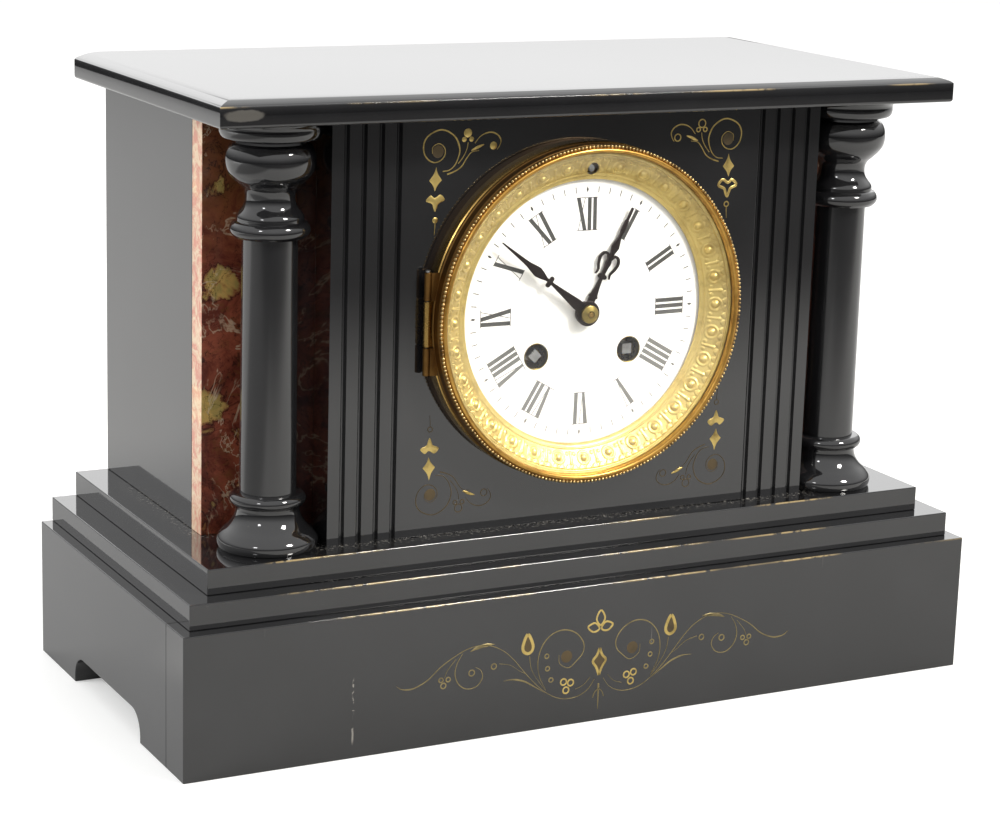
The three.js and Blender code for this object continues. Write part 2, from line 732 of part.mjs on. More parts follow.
// Distances between arbors
const barrelToSecond = 19.83;
const secondToCentre = 17.5;
const centreToThird = 16.2;
const thirdToEscape = 13.6;
const strikeSecondToPin = 14;
const pinToFly = 11.2;
const motionDistance = 12;
const escapeHeight = 22.8;
const anchorHeight = 36.2;
const hammerOffset = 38;
const hammerRise = 3;

const pitchOf = (distance, teeth, leaves) => distance * teeth / (teeth + leaves);

// Arbors, seen from the front, about the dial axis
const goingBarrel = { x: barrelSpacing / 2, z: -barrelDrop, teeth: barrelTeeth, turn: 0 };
const strikeBarrel = { x: -barrelSpacing / 2, z: -barrelDrop, teeth: barrelTeeth, turn: 0 };
const centre = { x: 0, z: 0, teeth: centreTeeth, pinion: pinionLeaves };
const escape = { x: 0, z: escapeHeight };
const anchorAxis = { x: 0, z: anchorHeight };
const second = between(goingBarrel, barrelToSecond, centre, secondToCentre, -1);
Object.assign(second, { teeth: secondTeeth, pinion: pinionLeaves });
const third = between(centre, centreToThird, escape, thirdToEscape, 1);
Object.assign(third, { teeth: thirdTeeth, pinion: pinionLeaves });

// The striking arbors go up the left side at set bearings
const place = (from, distance, degrees) => ({
  x: from.x + distance * Math.sin(THREE.MathUtils.degToRad(degrees)),
  z: from.z + distance * Math.cos(THREE.MathUtils.degToRad(degrees)),
});
const strikeSecond = place(strikeBarrel, barrelToSecond, -10);
Object.assign(strikeSecond, { teeth: strikeSecondTeeth, pinion: pinionLeaves });
const pinWheel = place(strikeSecond, strikeSecondToPin, -8.5);
Object.assign(pinWheel, { teeth: pinWheelTeeth, pinion: pinionLeaves });
const fly = place(pinWheel, pinToFly, 32.5);
Object.assign(fly, { pinion: pinionLeaves });
const hammerAxis = { x: -hammerOffset, z: hammerRise };
const minuteArbor = { x: 0, z: -motionDistance };

// Each follower's turn, so that its leaves stand in the driver's gaps
second.turn = meshTurn(goingBarrel, second);
centre.turn = meshTurn(second, centre);
third.turn = meshTurn(centre, third);
strikeSecond.turn = meshTurn(strikeBarrel, strikeSecond);
pinWheel.turn = meshTurn(strikeSecond, pinWheel);
fly.turn = meshTurn(pinWheel, fly);
const cannonMesh = { x: 0, z: 0, teeth: cannonTeeth, turn: 0 };
minuteArbor.turn = meshTurn(cannonMesh, { ...minuteArbor, pinion: minuteWheelTeeth });
const minutePinionMesh = { ...minuteArbor, teeth: minutePinionTeeth };
const hourTurn = meshTurn(minutePinionMesh, { x: 0, z: 0, pinion: hourWheelTeeth });

// Depths behind the front plate
const barrelGap = 3;
const barrelToothLength = 3;
const secondWheelGap = 1.5;
const centreWheelGap = 3.1;
const thirdWheelGap = 1.6;
const escapeWheelGap = 2;
const pinWheelGap = 2.1;
const barrelFront = barrelGap;
const barrelBack = barrelFront + barrelLength;
const barrelTeethFront = barrelBack - barrelToothLength;
const secondWheelFront = barrelBack + secondWheelGap;
const centreWheelFront = secondWheelFront + wheelThickness + centreWheelGap;
const thirdWheelFront = centreWheelFront + wheelThickness + thirdWheelGap;
const escapeWheelFront = thirdWheelFront + lightWheelThickness + escapeWheelGap;
const pinWheelFront = secondWheelFront + wheelThickness + pinWheelGap;
const leafOverhang = 0.5;

// An arbor with a pivot at each end, from the front plate to the back plate
const pivotLength = plateThickness;
const shoulder = 0.4;
const hubShare = 1.7;
function arbor(frontEnd = -pivotLength, backEnd = plateGap + pivotLength) {
  return join(
    bar(0, 0, arborRadius, shoulder, plateGap - shoulder),
    bar(0, 0, pivotRadius, frontEnd, backEnd),
  );
}

function pinionOn(distance, wheelTeeth, wheelFront, wheelBack) {
  const radius = pitchOf(distance, pinionLeaves, wheelTeeth);
  return toothed(pinionLeaves, radius, wheelFront - leafOverhang, wheelBack + leafOverhang,
    pinionRootShare);
}

function placed(piece, arborAt) {
  piece.position.set(arborAt.x, 0, arborAt.z);
  piece.rotation.y = arborAt.turn ?? 0;
  movementGroup.add(piece);
}

// The coiled mainspring is a flat spiral band, hooked on its arbor
function mainspring(y0, y1) {
  const inner = winderRadius - springThickness;
  const outer = barrelRadius - barrelWall - fit;
  const steps = springTurns * springSteps;
  const radiusAt = (i) => inner + (outer - springThickness - inner) * i / steps;
  const outside = [];
  const inside = [];
  for (let i = 0; i <= steps; i += 1) {
    const angle = 2 * Math.PI * i / springSteps;
    const radius = radiusAt(i);
    const back = radius + springThickness;
    outside.push([back * Math.sin(angle), back * Math.cos(angle)]);
    inside.push([radius * Math.sin(angle), radius * Math.cos(angle)]);
  }
  return flat(shapeOf([...outside, ...inside.reverse()]), y0, y1);
}

function barrels() {
  const toothRadius = pitchOf(barrelToSecond, barrelTeeth, pinionLeaves);
  const boreRadius = winderRadius + fit;
  const sides = [['going', goingBarrel, 0], ['strike', strikeBarrel, Math.PI / 4]];
  for (const [label, at, squareTurn] of sides) {
    const drum = turnedRing([
      [boreRadius, barrelFront], [barrelRadius, barrelFront], [barrelRadius, barrelBack],
      [boreRadius, barrelBack], [boreRadius, barrelBack - barrelWall],
      [barrelRadius - barrelWall, barrelBack - barrelWall],
      [barrelRadius - barrelWall, barrelFront + barrelWall],
      [boreRadius, barrelFront + barrelWall],
    ], drumSides);
    const ring = cut(toothed(barrelTeeth, toothRadius, barrelTeethFront, barrelBack, 1),
      bar(0, 0, barrelRadius - barrelWall / 2, 0, plateGap, drumSides));
    const barrel = mesh(`${label}_barrel`, join(drum, ring), 'brass');
    placed(barrel, at);

    const squareFront = -(winderTip + frontPlateInner);
    const squareBack = squareFront + winderSquareLength;
    const square = block([-winderSquare / 2, winderSquare / 2], [squareFront, squareBack],
      [-winderSquare / 2, winderSquare / 2]);
    const turn = new THREE.Matrix4().makeRotationY(squareTurn);
    const key = square.transform(turn.elements);
    const spring = mainspring(barrelFront + barrelWall + fit, barrelBack - barrelWall - fit);
    const winder = join(
      bar(0, 0, winderRadius, squareBack - fit, plateGap - shoulder),
      bar(0, 0, pivotRadius, 0, plateGap + pivotLength),
      key,
      spring,
    );
    const winding = mesh(`${label}_arbor`, winder, 'steel');
    placed(winding, { x: at.x, z: at.z, turn: 0 });
  }
}

// The escape pinion is drawn clear of the third wheel, and the wheel clear of the pallets
const thirdTipRadius = 11.9;
const escapePinionTip = thirdToEscape - thirdTipRadius - fit;
const escapeRadius = 7.8;

// Motion work in front of the front plate
const cannonLength = 2.5;
const motionWheelThickness = 1;
const motionBack = -plateThickness - fit;
const cannonFront = motionBack - cannonLength;
const minuteWheelSetback = 0.8;
const minutePinionReach = 2.2;
const hourWheelGap = 0.4;
const minuteWheelFront = cannonFront + minuteWheelSetback;
const minutePinionFront = cannonFront - minutePinionReach;
const hourWheelBack = cannonFront - hourWheelGap;
const studRadius = 0.9;
const toMovement = (forward) => -forward - frontPlateInner;

function centreWheel() {
  const centreBack = centreWheelFront + wheelThickness;
  const secondBack = secondWheelFront + wheelThickness;
  const arborFront = toMovement(nutFace - fit);
  const pipeFront = toMovement(minuteHandFace - minuteHandThickness - fit);
  const cannonRadius = pitchOf(motionDistance, cannonTeeth, minuteWheelTeeth);
  const cannon = toothed(cannonTeeth, cannonRadius, cannonFront, motionBack, motionRootShare);
  const cannonTurn = new THREE.Matrix4().makeRotationY(-centre.turn);
  const body = join(
    arbor(),
    bar(0, 0, handSeatRadius, arborFront, shoulder),
    bar(0, 0, cannonPipeRadius, pipeFront, motionBack, drumSides),
    cannon.transform(cannonTurn.elements),
    pinionOn(secondToCentre, secondTeeth, secondWheelFront, secondBack),
    toothed(centreTeeth, pitchOf(centreToThird, centreTeeth, pinionLeaves), centreWheelFront,
      centreBack, 1),
  );
  placed(mesh('centre_wheel', body, 'brass'), centre);
}

function goingTrain() {
  const secondBack = secondWheelFront + wheelThickness;
  const secondBody = join(
    arbor(),
    pinionOn(barrelToSecond, barrelTeeth, barrelTeethFront, barrelBack),
    toothed(secondTeeth, pitchOf(secondToCentre, secondTeeth, pinionLeaves), secondWheelFront,
      secondBack, 1),
  );
  placed(mesh('going_second_wheel', secondBody, 'brass'), second);
  centreWheel();

  const thirdBack = thirdWheelFront + lightWheelThickness;
  const thirdBody = join(
    arbor(),
    pinionOn(centreToThird, centreTeeth, centreWheelFront, centreWheelFront + wheelThickness),
    toothed(thirdTeeth, pitchForTip(thirdTipRadius, thirdTeeth), thirdWheelFront, thirdBack, 1),
  );
  placed(mesh('third_wheel', thirdBody, 'brass'), third);

  const escapeBody = join(
    arbor(),
    toothed(pinionLeaves, pitchForTip(escapePinionTip, pinionLeaves), thirdWheelFront - leafOverhang,
      thirdBack + leafOverhang, pinionRootShare, toothTipShare, escapePinionRootShare),
    toothed(escapeTeeth, escapeRadius, escapeWheelFront, escapeWheelFront + lightWheelThickness,
      escapeGapShare, 0, escapeToothShare),
  );
  placed(mesh('escape_wheel', escapeBody, 'brass'), { ...escape, turn: 0 });
}

function motionWork() {
  const wheelRadius = pitchOf(motionDistance, minuteWheelTeeth, cannonTeeth);
  const pinionRadius = pitchOf(motionDistance, minutePinionTeeth, hourWheelTeeth);
  const minuteBody = cut(join(
    toothed(minuteWheelTeeth, wheelRadius, minuteWheelFront, minuteWheelFront + motionWheelThickness, 1),
    toothed(minutePinionTeeth, pinionRadius, minutePinionFront, minuteWheelFront, motionRootShare),
  ), bar(0, 0, studRadius + fit, minutePinionFront - cutOverrun, 0));
  placed(mesh('minute_wheel', minuteBody, 'brass'), minuteArbor);

  const hourRadius = pitchOf(motionDistance, hourWheelTeeth, minutePinionTeeth);
  const handBack = toMovement(hourHandFace - hourHandThickness - fit);
  const hourBody = cut(join(
    toothed(hourWheelTeeth, hourRadius, hourWheelBack - motionWheelThickness, hourWheelBack, 1),
    bar(0, 0, hourPipeRadius, handBack, hourWheelBack, drumSides),
    bar(0, 0, hourSeatRadius, toMovement(hourHandFace), hourWheelBack, drumSides),
  ), bar(0, 0, cannonPipeRadius + fit, toMovement(hourHandFace) - cutOverrun, 0, drumSides));
  placed(mesh('hour_wheel', hourBody, 'brass'), { x: 0, z: 0, turn: hourTurn });
}

// Striking train, with its count wheel and the lifting pins
const pinCircleShare = 0.75;
const liftingPinRadius = 0.6;
const liftingPinLength = 2.2;
const liftingPinRoot = 0.5;
const flyVaneReach = 8;
const flyVaneSpan = [4, 16];
const flyVaneThickness = 0.8;
const countWheelRadius = 11;
const countWheelThickness = 1.2;
const countWheelGap = 0.8;
const countWheelFront = backPlateOuter + countWheelGap;
const countNotchDepth = 1.6;
const countNotchShare = 0.6;
const countLandShare = 0.35;
const strikesOfHalfTurn = [1, 2, 3, 4, 5, 6];

// The count wheel's rim is notched after each hour's blows, so the teeth between grow in turn
function countWheelOutline() {
  const blows = strikesOfHalfTurn.reduce((sum, strikes) => sum + strikes + 1, 0);
  const step = 2 * Math.PI / blows;
  const points = [];
  const at = (radius, angle) => points.push([radius * Math.sin(angle), radius * Math.cos(angle)]);
  let angle = 0;
  for (const strikes of strikesOfHalfTurn) {
    at(countWheelRadius - countNotchDepth, angle);
    at(countWheelRadius - countNotchDepth, angle + step * countNotchShare);
    for (let i = 0; i <= strikes; i += 1) {
      at(countWheelRadius, angle + step * (countNotchShare + i * (strikes + countLandShare) / strikes));
    }
    angle += step * (strikes + 1);
  }
  return shapeOf(points);
}

function strikeTrain() {
  const secondBack = secondWheelFront + wheelThickness;
  const secondBody = join(
    arbor(-pivotLength, countWheelFront + countWheelThickness + fit),
    pinionOn(barrelToSecond, barrelTeeth, barrelTeethFront, barrelBack),
    toothed(strikeSecondTeeth, pitchOf(strikeSecondToPin, strikeSecondTeeth, pinionLeaves),
      secondWheelFront, secondBack, 1),
  );
  placed(mesh('strike_second_wheel', secondBody, 'brass'), strikeSecond);
  const countBody = cut(flat(countWheelOutline(), countWheelFront, countWheelFront + countWheelThickness),
    bar(0, 0, pivotRadius + fit, backPlateOuter, countWheelFront + countWheelThickness + cutOverrun));
  placed(mesh('count_wheel', countBody, 'brass'), strikeSecond);

  const pinWheelRadius = pitchOf(pinToFly, pinWheelTeeth, pinionLeaves);
  const pinWheelBack = pinWheelFront + lightWheelThickness;
  const pins = [];
  for (let i = 0; i < pinCount; i += 1) {
    const angle = 2 * Math.PI * i / pinCount;
    const circle = pinCircleShare * pinWheelRadius;
    pins.push(bar(circle * Math.sin(angle), circle * Math.cos(angle), liftingPinRadius,
      pinWheelBack - liftingPinRoot, pinWheelBack + liftingPinLength, smallSides));
  }
  const pinBody = join(
    arbor(),
    pinionOn(strikeSecondToPin, strikeSecondTeeth, secondWheelFront, secondBack),
    toothed(pinWheelTeeth, pinWheelRadius, pinWheelFront, pinWheelBack, 1),
    ...pins,
  );
  placed(mesh('pin_wheel', pinBody, 'brass'), pinWheel);

  const vane = block([-flyVaneReach, flyVaneReach], flyVaneSpan,
    [-flyVaneThickness / 2, flyVaneThickness / 2]);
  const flyBody = join(arbor(), pinionOn(pinToFly, pinWheelTeeth, pinWheelFront, pinWheelBack), vane);
  placed(mesh('fly', flyBody, 'steel'), fly);
}

// The bell stands behind the back plate, with the hammer's head just clear of its rim
const bellOffset = 16;
const bellDrop = 9;
const bellGap = 16.1;
const bellCentre = { x: -bellOffset, z: -bellDrop };
const bellMouth = backPlateOuter + bellGap;
const bellStudRadius = 1.3;
const bellNutRadius = 3.2;
const bellNutThickness = 2.25;
const hammerHeadRadius = 3;
const hammerHeadLength = 6;
const hammerRestGap = 0.6;
const hammerStrikeBearing = -30;
const hammerArmGap = 2.3;
const hammerArmFront = backPlateOuter + hammerArmGap;
const hammerArmThickness = 1.5;
const hammerTailReach = 10;
const hammerTailInset = 0.2;
const hammerRodShare = 0.7;
const hammerHeadLead = 0.5;
const bellShares = [[1, 0], [0.985, 0.25], [0.93, 0.5], [0.8, 0.72], [0.55, 0.9], [0.25, 0.985]];

// A straight lever in X and Z from one point to another
function lever(from, to, halfWidth, y0, y1) {
  const length = Math.hypot(to.x - from.x, to.z - from.z);
  const ux = (to.x - from.x) / length;
  const uz = (to.z - from.z) / length;
  const corner = (point, side) => [point.x + side * halfWidth * uz, point.z - side * halfWidth * ux];
  return flat(shapeOf([corner(from, 1), corner(to, 1), corner(to, -1), corner(from, -1)]), y0, y1);
}

function bellAndHammer() {
  const studTop = bellMouth + bellDepth;
  const stand = join(
    bar(0, 0, pillarRadius, backPlateOuter, studTop - bellWall - fit),
    bar(0, 0, bellStudRadius, backPlateOuter, studTop + fit + bellNutThickness),
    bar(0, 0, bellNutRadius, studTop + fit, studTop + fit + bellNutThickness),
  );
  placed(mesh('bell_stand', stand, 'steel'), bellCentre);
  const outer = bellShares.map(([r, d]) => [r * bellRadius, bellMouth + d * bellDepth]);
  const inner = bellShares.map(([r, d]) => [
    r * (bellRadius - bellWall), bellMouth + d * (bellDepth - bellWall),
  ]);
  const bore = bellStudRadius + fit;
  const profile = [...outer, [bore, bellMouth + bellDepth], [bore, bellMouth + bellDepth - bellWall],
    ...inner.reverse()];
  placed(mesh('bell', turnedRing(profile, columnSides), 'bellMetal'), bellCentre);

  const headAt = place(bellCentre, bellRadius + hammerRestGap + hammerHeadRadius, hammerStrikeBearing);
  const head = { x: headAt.x - hammerAxis.x, z: headAt.z - hammerAxis.z };
  const toPins = { x: pinWheel.x - hammerAxis.x, z: pinWheel.z - hammerAxis.z };
  const tailShare = hammerTailReach / Math.hypot(toPins.x, toPins.z);
  const tail = { x: toPins.x * tailShare, z: toPins.z * tailShare };
  const pinsBack = pinWheelFront + lightWheelThickness + liftingPinLength - hammerTailInset;
  const own = { x: 0, z: 0 };
  const armBack = hammerArmFront + hammerArmThickness;
  const body = join(
    arbor(-pivotLength, armBack),
    bar(0, 0, arborRadius * hubShare, hammerArmFront, armBack),
    lever(own, head, hammerArmThickness / 2, hammerArmFront, armBack),
    bar(head.x, head.z, hammerArmThickness * hammerRodShare, hammerArmFront,
      bellMouth + hammerHeadLength / 2),
    bar(head.x, head.z, hammerHeadRadius, bellMouth - hammerHeadLead, bellMouth + hammerHeadLength,
      hammerSides),
    lever(own, tail, hammerArmThickness / 2, pinsBack - hammerArmThickness, pinsBack),
  );
  placed(mesh('hammer', body, 'steel'), hammerAxis);
}

// Escapement: the anchor and its crutch swing with the pendulum about one axis
const palletClearance = 0.9;
const palletBearing = 45;
const palletThickness = 1.6;
const crutchLength = 24;
const crutchThickness = 1.5;
const crutchHalfWidth = 1;
const crutchForkReach = 7.5;
const crutchForkHeight = 3;
const forkPlay = 0.1;
const rodGap = 6.1;
const rodY = backPlateOuter + rodGap;
const crutchFront = backPlateOuter + fit;

function escapement() {
  const wheelFront = escapeWheelFront;
  const wheelBack = escapeWheelFront + lightWheelThickness;
  const tipCircle = escapeRadius + palletClearance;
  const drop = anchorHeight - escapeHeight;
  const arms = [-1, 1].map((side) => {
    const bearing = THREE.MathUtils.degToRad(side * palletBearing);
    const at = (radius) => ({ x: radius * Math.sin(bearing), z: radius * Math.cos(bearing) - drop });
    const elbow = at(tipCircle + palletThickness);
    return join(
      lever({ x: 0, z: 0 }, elbow, palletThickness / 2, wheelFront, wheelBack),
      lever(elbow, at(tipCircle), palletThickness / 2, wheelFront, wheelBack),
    );
  });
  const crutchBack = crutchFront + crutchThickness;
  const forkInner = pendulumRodRadius + fit + forkPlay;
  const forkOuter = forkInner + crutchHalfWidth;
  const forkZ = [-crutchLength, crutchForkHeight - crutchLength];
  const body = join(
    arbor(-pivotLength, crutchBack),
    bar(0, 0, arborRadius * hubShare, wheelFront, wheelBack),
    ...arms,
    bar(0, 0, arborRadius * hubShare, crutchFront, crutchBack),
    block([-crutchHalfWidth, crutchHalfWidth], [crutchFront, crutchBack], [-crutchLength, 0]),
    block([-forkOuter, forkOuter], [crutchFront, crutchBack], forkZ),
    block([-forkOuter, -forkInner], [crutchFront, crutchFront + crutchForkReach], forkZ),
    block([forkInner, forkOuter], [crutchFront, crutchFront + crutchForkReach], forkZ),
  );
  placed(mesh('anchor', body, 'steel'), anchorAxis);
}

// Pendulum and the cock on the back plate that carries it and the regulating arbor
const cockFootThickness = 2.5;
const cockWidth = 10;
const cockShelfGap = 3.05;
const cockShelfThickness = 2.5;
const cockTopMargin = 5;
const lugGap = 1.1;
const lugThickness = 2;
const lugDrop = 3.2;
const pivotPinRadius = 1.1;
const bobDishWidth = 3;
const bobDishDepth = 0.5;
const bobRimShare = 1 / 3;
const ratingNutLength = 4;
const ratingNutTuck = 1;
const pendulumLength = dialAxisHeight + anchorHeight - bobRadius - bobFloorClearance;

function pendulumAndCock() {
  const lugFront = rodY + pendulumRodRadius + lugGap;
  const lugBack = lugFront + lugThickness;
  const shelf = anchorHeight + cockShelfGap;
  const shelfTop = shelf + cockShelfThickness;
  const footBack = backPlateOuter + cockFootThickness;
  const outline = shapeOf([
    [backPlateOuter, shelf], [lugFront, shelf], [lugFront, anchorHeight - lugDrop],
    [lugBack, anchorHeight - lugDrop], [lugBack, shelfTop], [footBack, shelfTop],
    [footBack, regulatorRadius + cockTopMargin], [backPlateOuter, regulatorRadius + cockTopMargin],
  ]);
  const cock = cut(
    sideways(outline, -cockWidth / 2, cockWidth / 2),
    bar(0, anchorHeight, pivotPinRadius + fit, lugFront - cutOverrun, lugBack + cutOverrun),
    bar(0, regulatorRadius, regulatorArborRadius + fit, backPlateOuter - cutOverrun, footBack + cutOverrun),
  );
  placed(mesh('suspension_cock', cock, 'brass'), { x: 0, z: 0 });

  const regulatorBack = footBack + 2 * regulatorArborRadius;
  const regulator = join(
    bar(0, 0, regulatorArborRadius, toMovement(regulatorTip), regulatorBack),
    bar(0, 0, 2 * regulatorArborRadius, footBack + fit, regulatorBack),
  );
  placed(mesh('regulator_arbor', regulator, 'steel'), { x: 0, z: regulatorRadius });

  const bobHalf = bobThickness / 2;
  const bobFoot = -pendulumLength - bobRadius;
  const bob = turned([
    [0, rodY - bobHalf], [bobRadius - bobDishWidth, rodY - bobHalf + bobDishDepth],
    [bobRadius, rodY - bobHalf * bobRimShare], [bobRadius, rodY + bobHalf * bobRimShare],
    [bobRadius - bobDishWidth, rodY + bobHalf - bobDishDepth], [0, rodY + bobHalf],
  ], drumSides).translate([0, 0, -pendulumLength]);
  const body = join(
    post(0, rodY, pendulumRodRadius, -pendulumLength, pivotPinRadius + fit),
    bar(0, 0, pivotPinRadius, rodY, lugBack + fit),
    bob,
    post(0, rodY, pendulumRodRadius * 2, bobFoot - ratingNutLength + ratingNutTuck,
      bobFoot + ratingNutTuck),
  );
  placed(mesh('pendulum', body, 'brass'), anchorAxis);
}

// Plates: four pillars are riveted in the front plate and meet the back plate
const pillarAngles = [-105, -22, 35.5, 105];
const pillarInset = 3.2;
const plateSides = 32;

function plates() {
  const pivotHoles = [second, third, escape, strikeSecond, pinWheel, fly, hammerAxis];
  const drill = (at, radius, y0, y1, sides = smallSides) => bar(at.x, at.z, radius,
    y0 - cutOverrun, y1 + cutOverrun, sides);
  const front = [-plateThickness, 0];
  const back = [plateGap, backPlateOuter];
  const pillars = pillarAngles.map((angle) => {
    const at = place(centre, plateRadius - pillarInset, angle);
    return bar(at.x, at.z, pillarRadius, -plateThickness / 2, plateGap);
  });
  const frontPlate = join(
    cut(
      bar(0, 0, plateRadius, ...front, plateSides),
      ...pivotHoles.map((at) => drill(at, pivotHoleRadius, ...front)),
      drill(anchorAxis, pivotHoleRadius, ...front),
      drill(centre, handSeatRadius + fit, ...front, arborSides),
      drill(goingBarrel, winderRadius + fit, ...front, arborSides),
      drill(strikeBarrel, winderRadius + fit, ...front, arborSides),
    ),
    ...pillars,
    bar(minuteArbor.x, minuteArbor.z, studRadius, minutePinionFront, 0),
  );
  const backPlate = cut(
    bar(0, 0, plateRadius, ...back, plateSides),
    ...pivotHoles.map((at) => drill(at, pivotHoleRadius, ...back)),
    drill(anchorAxis, pivotHoleRadius, ...back),
    drill(centre, pivotHoleRadius, ...back),
    drill(goingBarrel, pivotHoleRadius, ...back),
    drill(strikeBarrel, pivotHoleRadius, ...back),
  );
  placed(mesh('front_plate', frontPlate, 'brass'), { x: 0, z: 0 });
  placed(mesh('back_plate', backPlate, 'brass'), { x: 0, z: 0 });
}

// Back ring and door in the recess of the back slab, tied to the seat ring by two straps
const backSleeveDepth = 7.75;
const backSleevePlay = 0.5;
const doorHingeHalfLength = 8;
const doorMiddleHalfLength = 4;
const doorHingeGap = 0.4;
const knobRadius = 3;
const knobLength = 3;
const knobInset = 8;
const strapPlay = 0.5;
const strapFootPlay = 0.8;

function backFittings() {
  const slabFace = slabFaceInMovement + frontPlateInner;
  const sleeveOuter = backHoleRadius - backSleevePlay;
  const sleeveInner = sleeveOuter - backSleeveWall;
  const sleeveFront = slabFace - backSleeveDepth;
  const flangeBack = slabFace + backFlangeThickness;
  const hingeX = backFlangeRadius + doorKnuckleRadius + doorHingeGap;
  const hingeY = flangeBack + fit / 2;
  const middle = doorMiddleHalfLength - fit / 2;
  const ring = turnedRing([
    [sleeveInner, sleeveFront], [sleeveOuter, sleeveFront], [sleeveOuter, slabFace],
    [backFlangeRadius, slabFace], [backFlangeRadius, flangeBack], [sleeveInner, flangeBack],
  ], ringSides);
  const ringBody = join(
    ring,
    post(hingeX, hingeY, doorKnuckleRadius, -middle, middle),
    block([backFlangeRadius - backSleeveWall, hingeX], [slabFace + fit, flangeBack], [-middle, middle]),
    post(hingeX, hingeY, doorPinRadius, -doorHingeHalfLength, doorHingeHalfLength),
  );
  dialGroup.add(mesh('back_ring', ringBody, 'brass'));

  const doorFront = flangeBack + fit;
  const doorBack = doorFront + doorThickness;
  const knuckle = (z0, z1) => join(
    post(hingeX, hingeY, doorKnuckleRadius, z0, z1),
    block([doorRadius - backSleeveWall, hingeX], [doorFront, hingeY + doorKnuckleRadius], [z0, z1]),
  );
  const knob = bar(-doorRadius + knobInset, 0, knobRadius, doorFront + doorThickness / 2,
    doorBack + knobLength, knobSides);
  const door = cut(
    join(
      bar(0, 0, doorRadius, doorFront, doorBack, ringSides),
      knuckle(-doorHingeHalfLength, -middle - fit),
      knuckle(middle + fit, doorHingeHalfLength),
      knob,
    ),
    post(hingeX, hingeY, doorPinRadius + fit, -doorHingeHalfLength - cutOverrun,
      doorHingeHalfLength + cutOverrun),
  );
  dialGroup.add(mesh('back_door', door, 'brass'));

  const footFront = seatSleeveDepth + fit;
  const footOuter = panelHoleRadius - strapFootPlay;
  const strapOuter = sleeveOuter - strapPlay;
  const strapBack = sleeveFront - fit;
  for (const [label, side] of [['left', -1], ['right', 1]]) {
    const span = (a, b) => [Math.min(side * a, side * b), Math.max(side * a, side * b)];
    const zs = [-strapWidth / 2, strapWidth / 2];
    const strap = join(
      block(span(strapOuter - strapThickness, strapOuter), [footFront, strapBack], zs),
      block(span(strapOuter - strapThickness, footOuter), [footFront, footFront + strapThickness], zs),
    );
    dialGroup.add(mesh(`movement_strap_${label}`, strap, 'steel'));
  }
}

base();
steps();
body();
topSlab();
column('left', -1);
column('right', 1);
bezel();
dial();
hands();
plates();
barrels();
goingTrain();
motionWork();
strikeTrain();
bellAndHammer();
escapement();
pendulumAndCock();
backFittings();

export default clock;
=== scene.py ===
"""Black slate mantel clock: the finished stone, gilding, dial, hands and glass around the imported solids.

Shapes are worked out in millimetres, with x to the right, y to the back and z up, and are written to the
meshes in metres. The dial group has its own measures: r from the dial axis, and t, the distance in front of
the dial panel's face.
"""

import json
import math
from functools import partial, partialmethod, reduce

import bmesh
import bpy
import numpy as np
from bpy.props import FloatProperty, FloatVectorProperty, IntProperty, PointerProperty
from mathutils import Matrix, Vector


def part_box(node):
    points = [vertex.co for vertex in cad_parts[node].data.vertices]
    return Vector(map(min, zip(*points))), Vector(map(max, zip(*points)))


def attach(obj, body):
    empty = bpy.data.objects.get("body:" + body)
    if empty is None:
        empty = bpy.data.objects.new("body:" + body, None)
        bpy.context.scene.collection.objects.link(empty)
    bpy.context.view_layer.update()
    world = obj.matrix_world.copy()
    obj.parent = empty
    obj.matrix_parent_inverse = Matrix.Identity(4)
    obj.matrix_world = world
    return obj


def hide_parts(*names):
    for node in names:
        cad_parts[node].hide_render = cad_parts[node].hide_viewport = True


bl_info = {
    "name": "Black Slate Mantel Clock",
    "version": (1, 0, 0),
    "blender": (4, 5, 0),
    "location": "View3D > Sidebar > Clock",
    "description": "Builds the stone, gilding, dial, hands, glass and stage of a black slate mantel clock",
    "category": "Add Mesh",
}

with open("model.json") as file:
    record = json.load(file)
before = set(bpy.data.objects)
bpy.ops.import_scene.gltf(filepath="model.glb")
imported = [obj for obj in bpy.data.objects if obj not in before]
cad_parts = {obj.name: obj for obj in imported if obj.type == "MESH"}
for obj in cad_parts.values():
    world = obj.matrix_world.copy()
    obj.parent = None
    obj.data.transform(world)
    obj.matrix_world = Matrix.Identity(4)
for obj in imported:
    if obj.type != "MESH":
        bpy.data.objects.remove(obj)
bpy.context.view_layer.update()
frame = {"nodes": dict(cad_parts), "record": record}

MM = 0.001
WELD = 0.000002
record = frame["record"]
BODY_OF = {node: body for body, nodes in record["behaviour"]["bodies"].items() for node in nodes}
SLOT_OF = {entry["node"]: entry["material_slot"] for entry in record["subparts"]}


def span(node):
    """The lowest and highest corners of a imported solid, in millimetres."""
    low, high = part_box(node)
    return np.array(low) / MM, np.array(high) / MM


PANEL_Y = span("dial_panel")[0][1]


def depth(node):
    """How far a solid's back and its front stand in front of the panel's face, in millimetres."""
    low, high = span(node)
    return PANEL_Y - high[1], PANEL_Y - low[1]


enamel_low, enamel_high = span("enamel_dial")
DIAL_Z = (enamel_low[2] + enamel_high[2]) / 2
ENAMEL_RADIUS = (enamel_high[0] - enamel_low[0]) / 2
ENAMEL_BACK, ENAMEL_TOP = depth("enamel_dial")
RIM_FACE = depth("bezel_rim")[1]


# ---- shapes


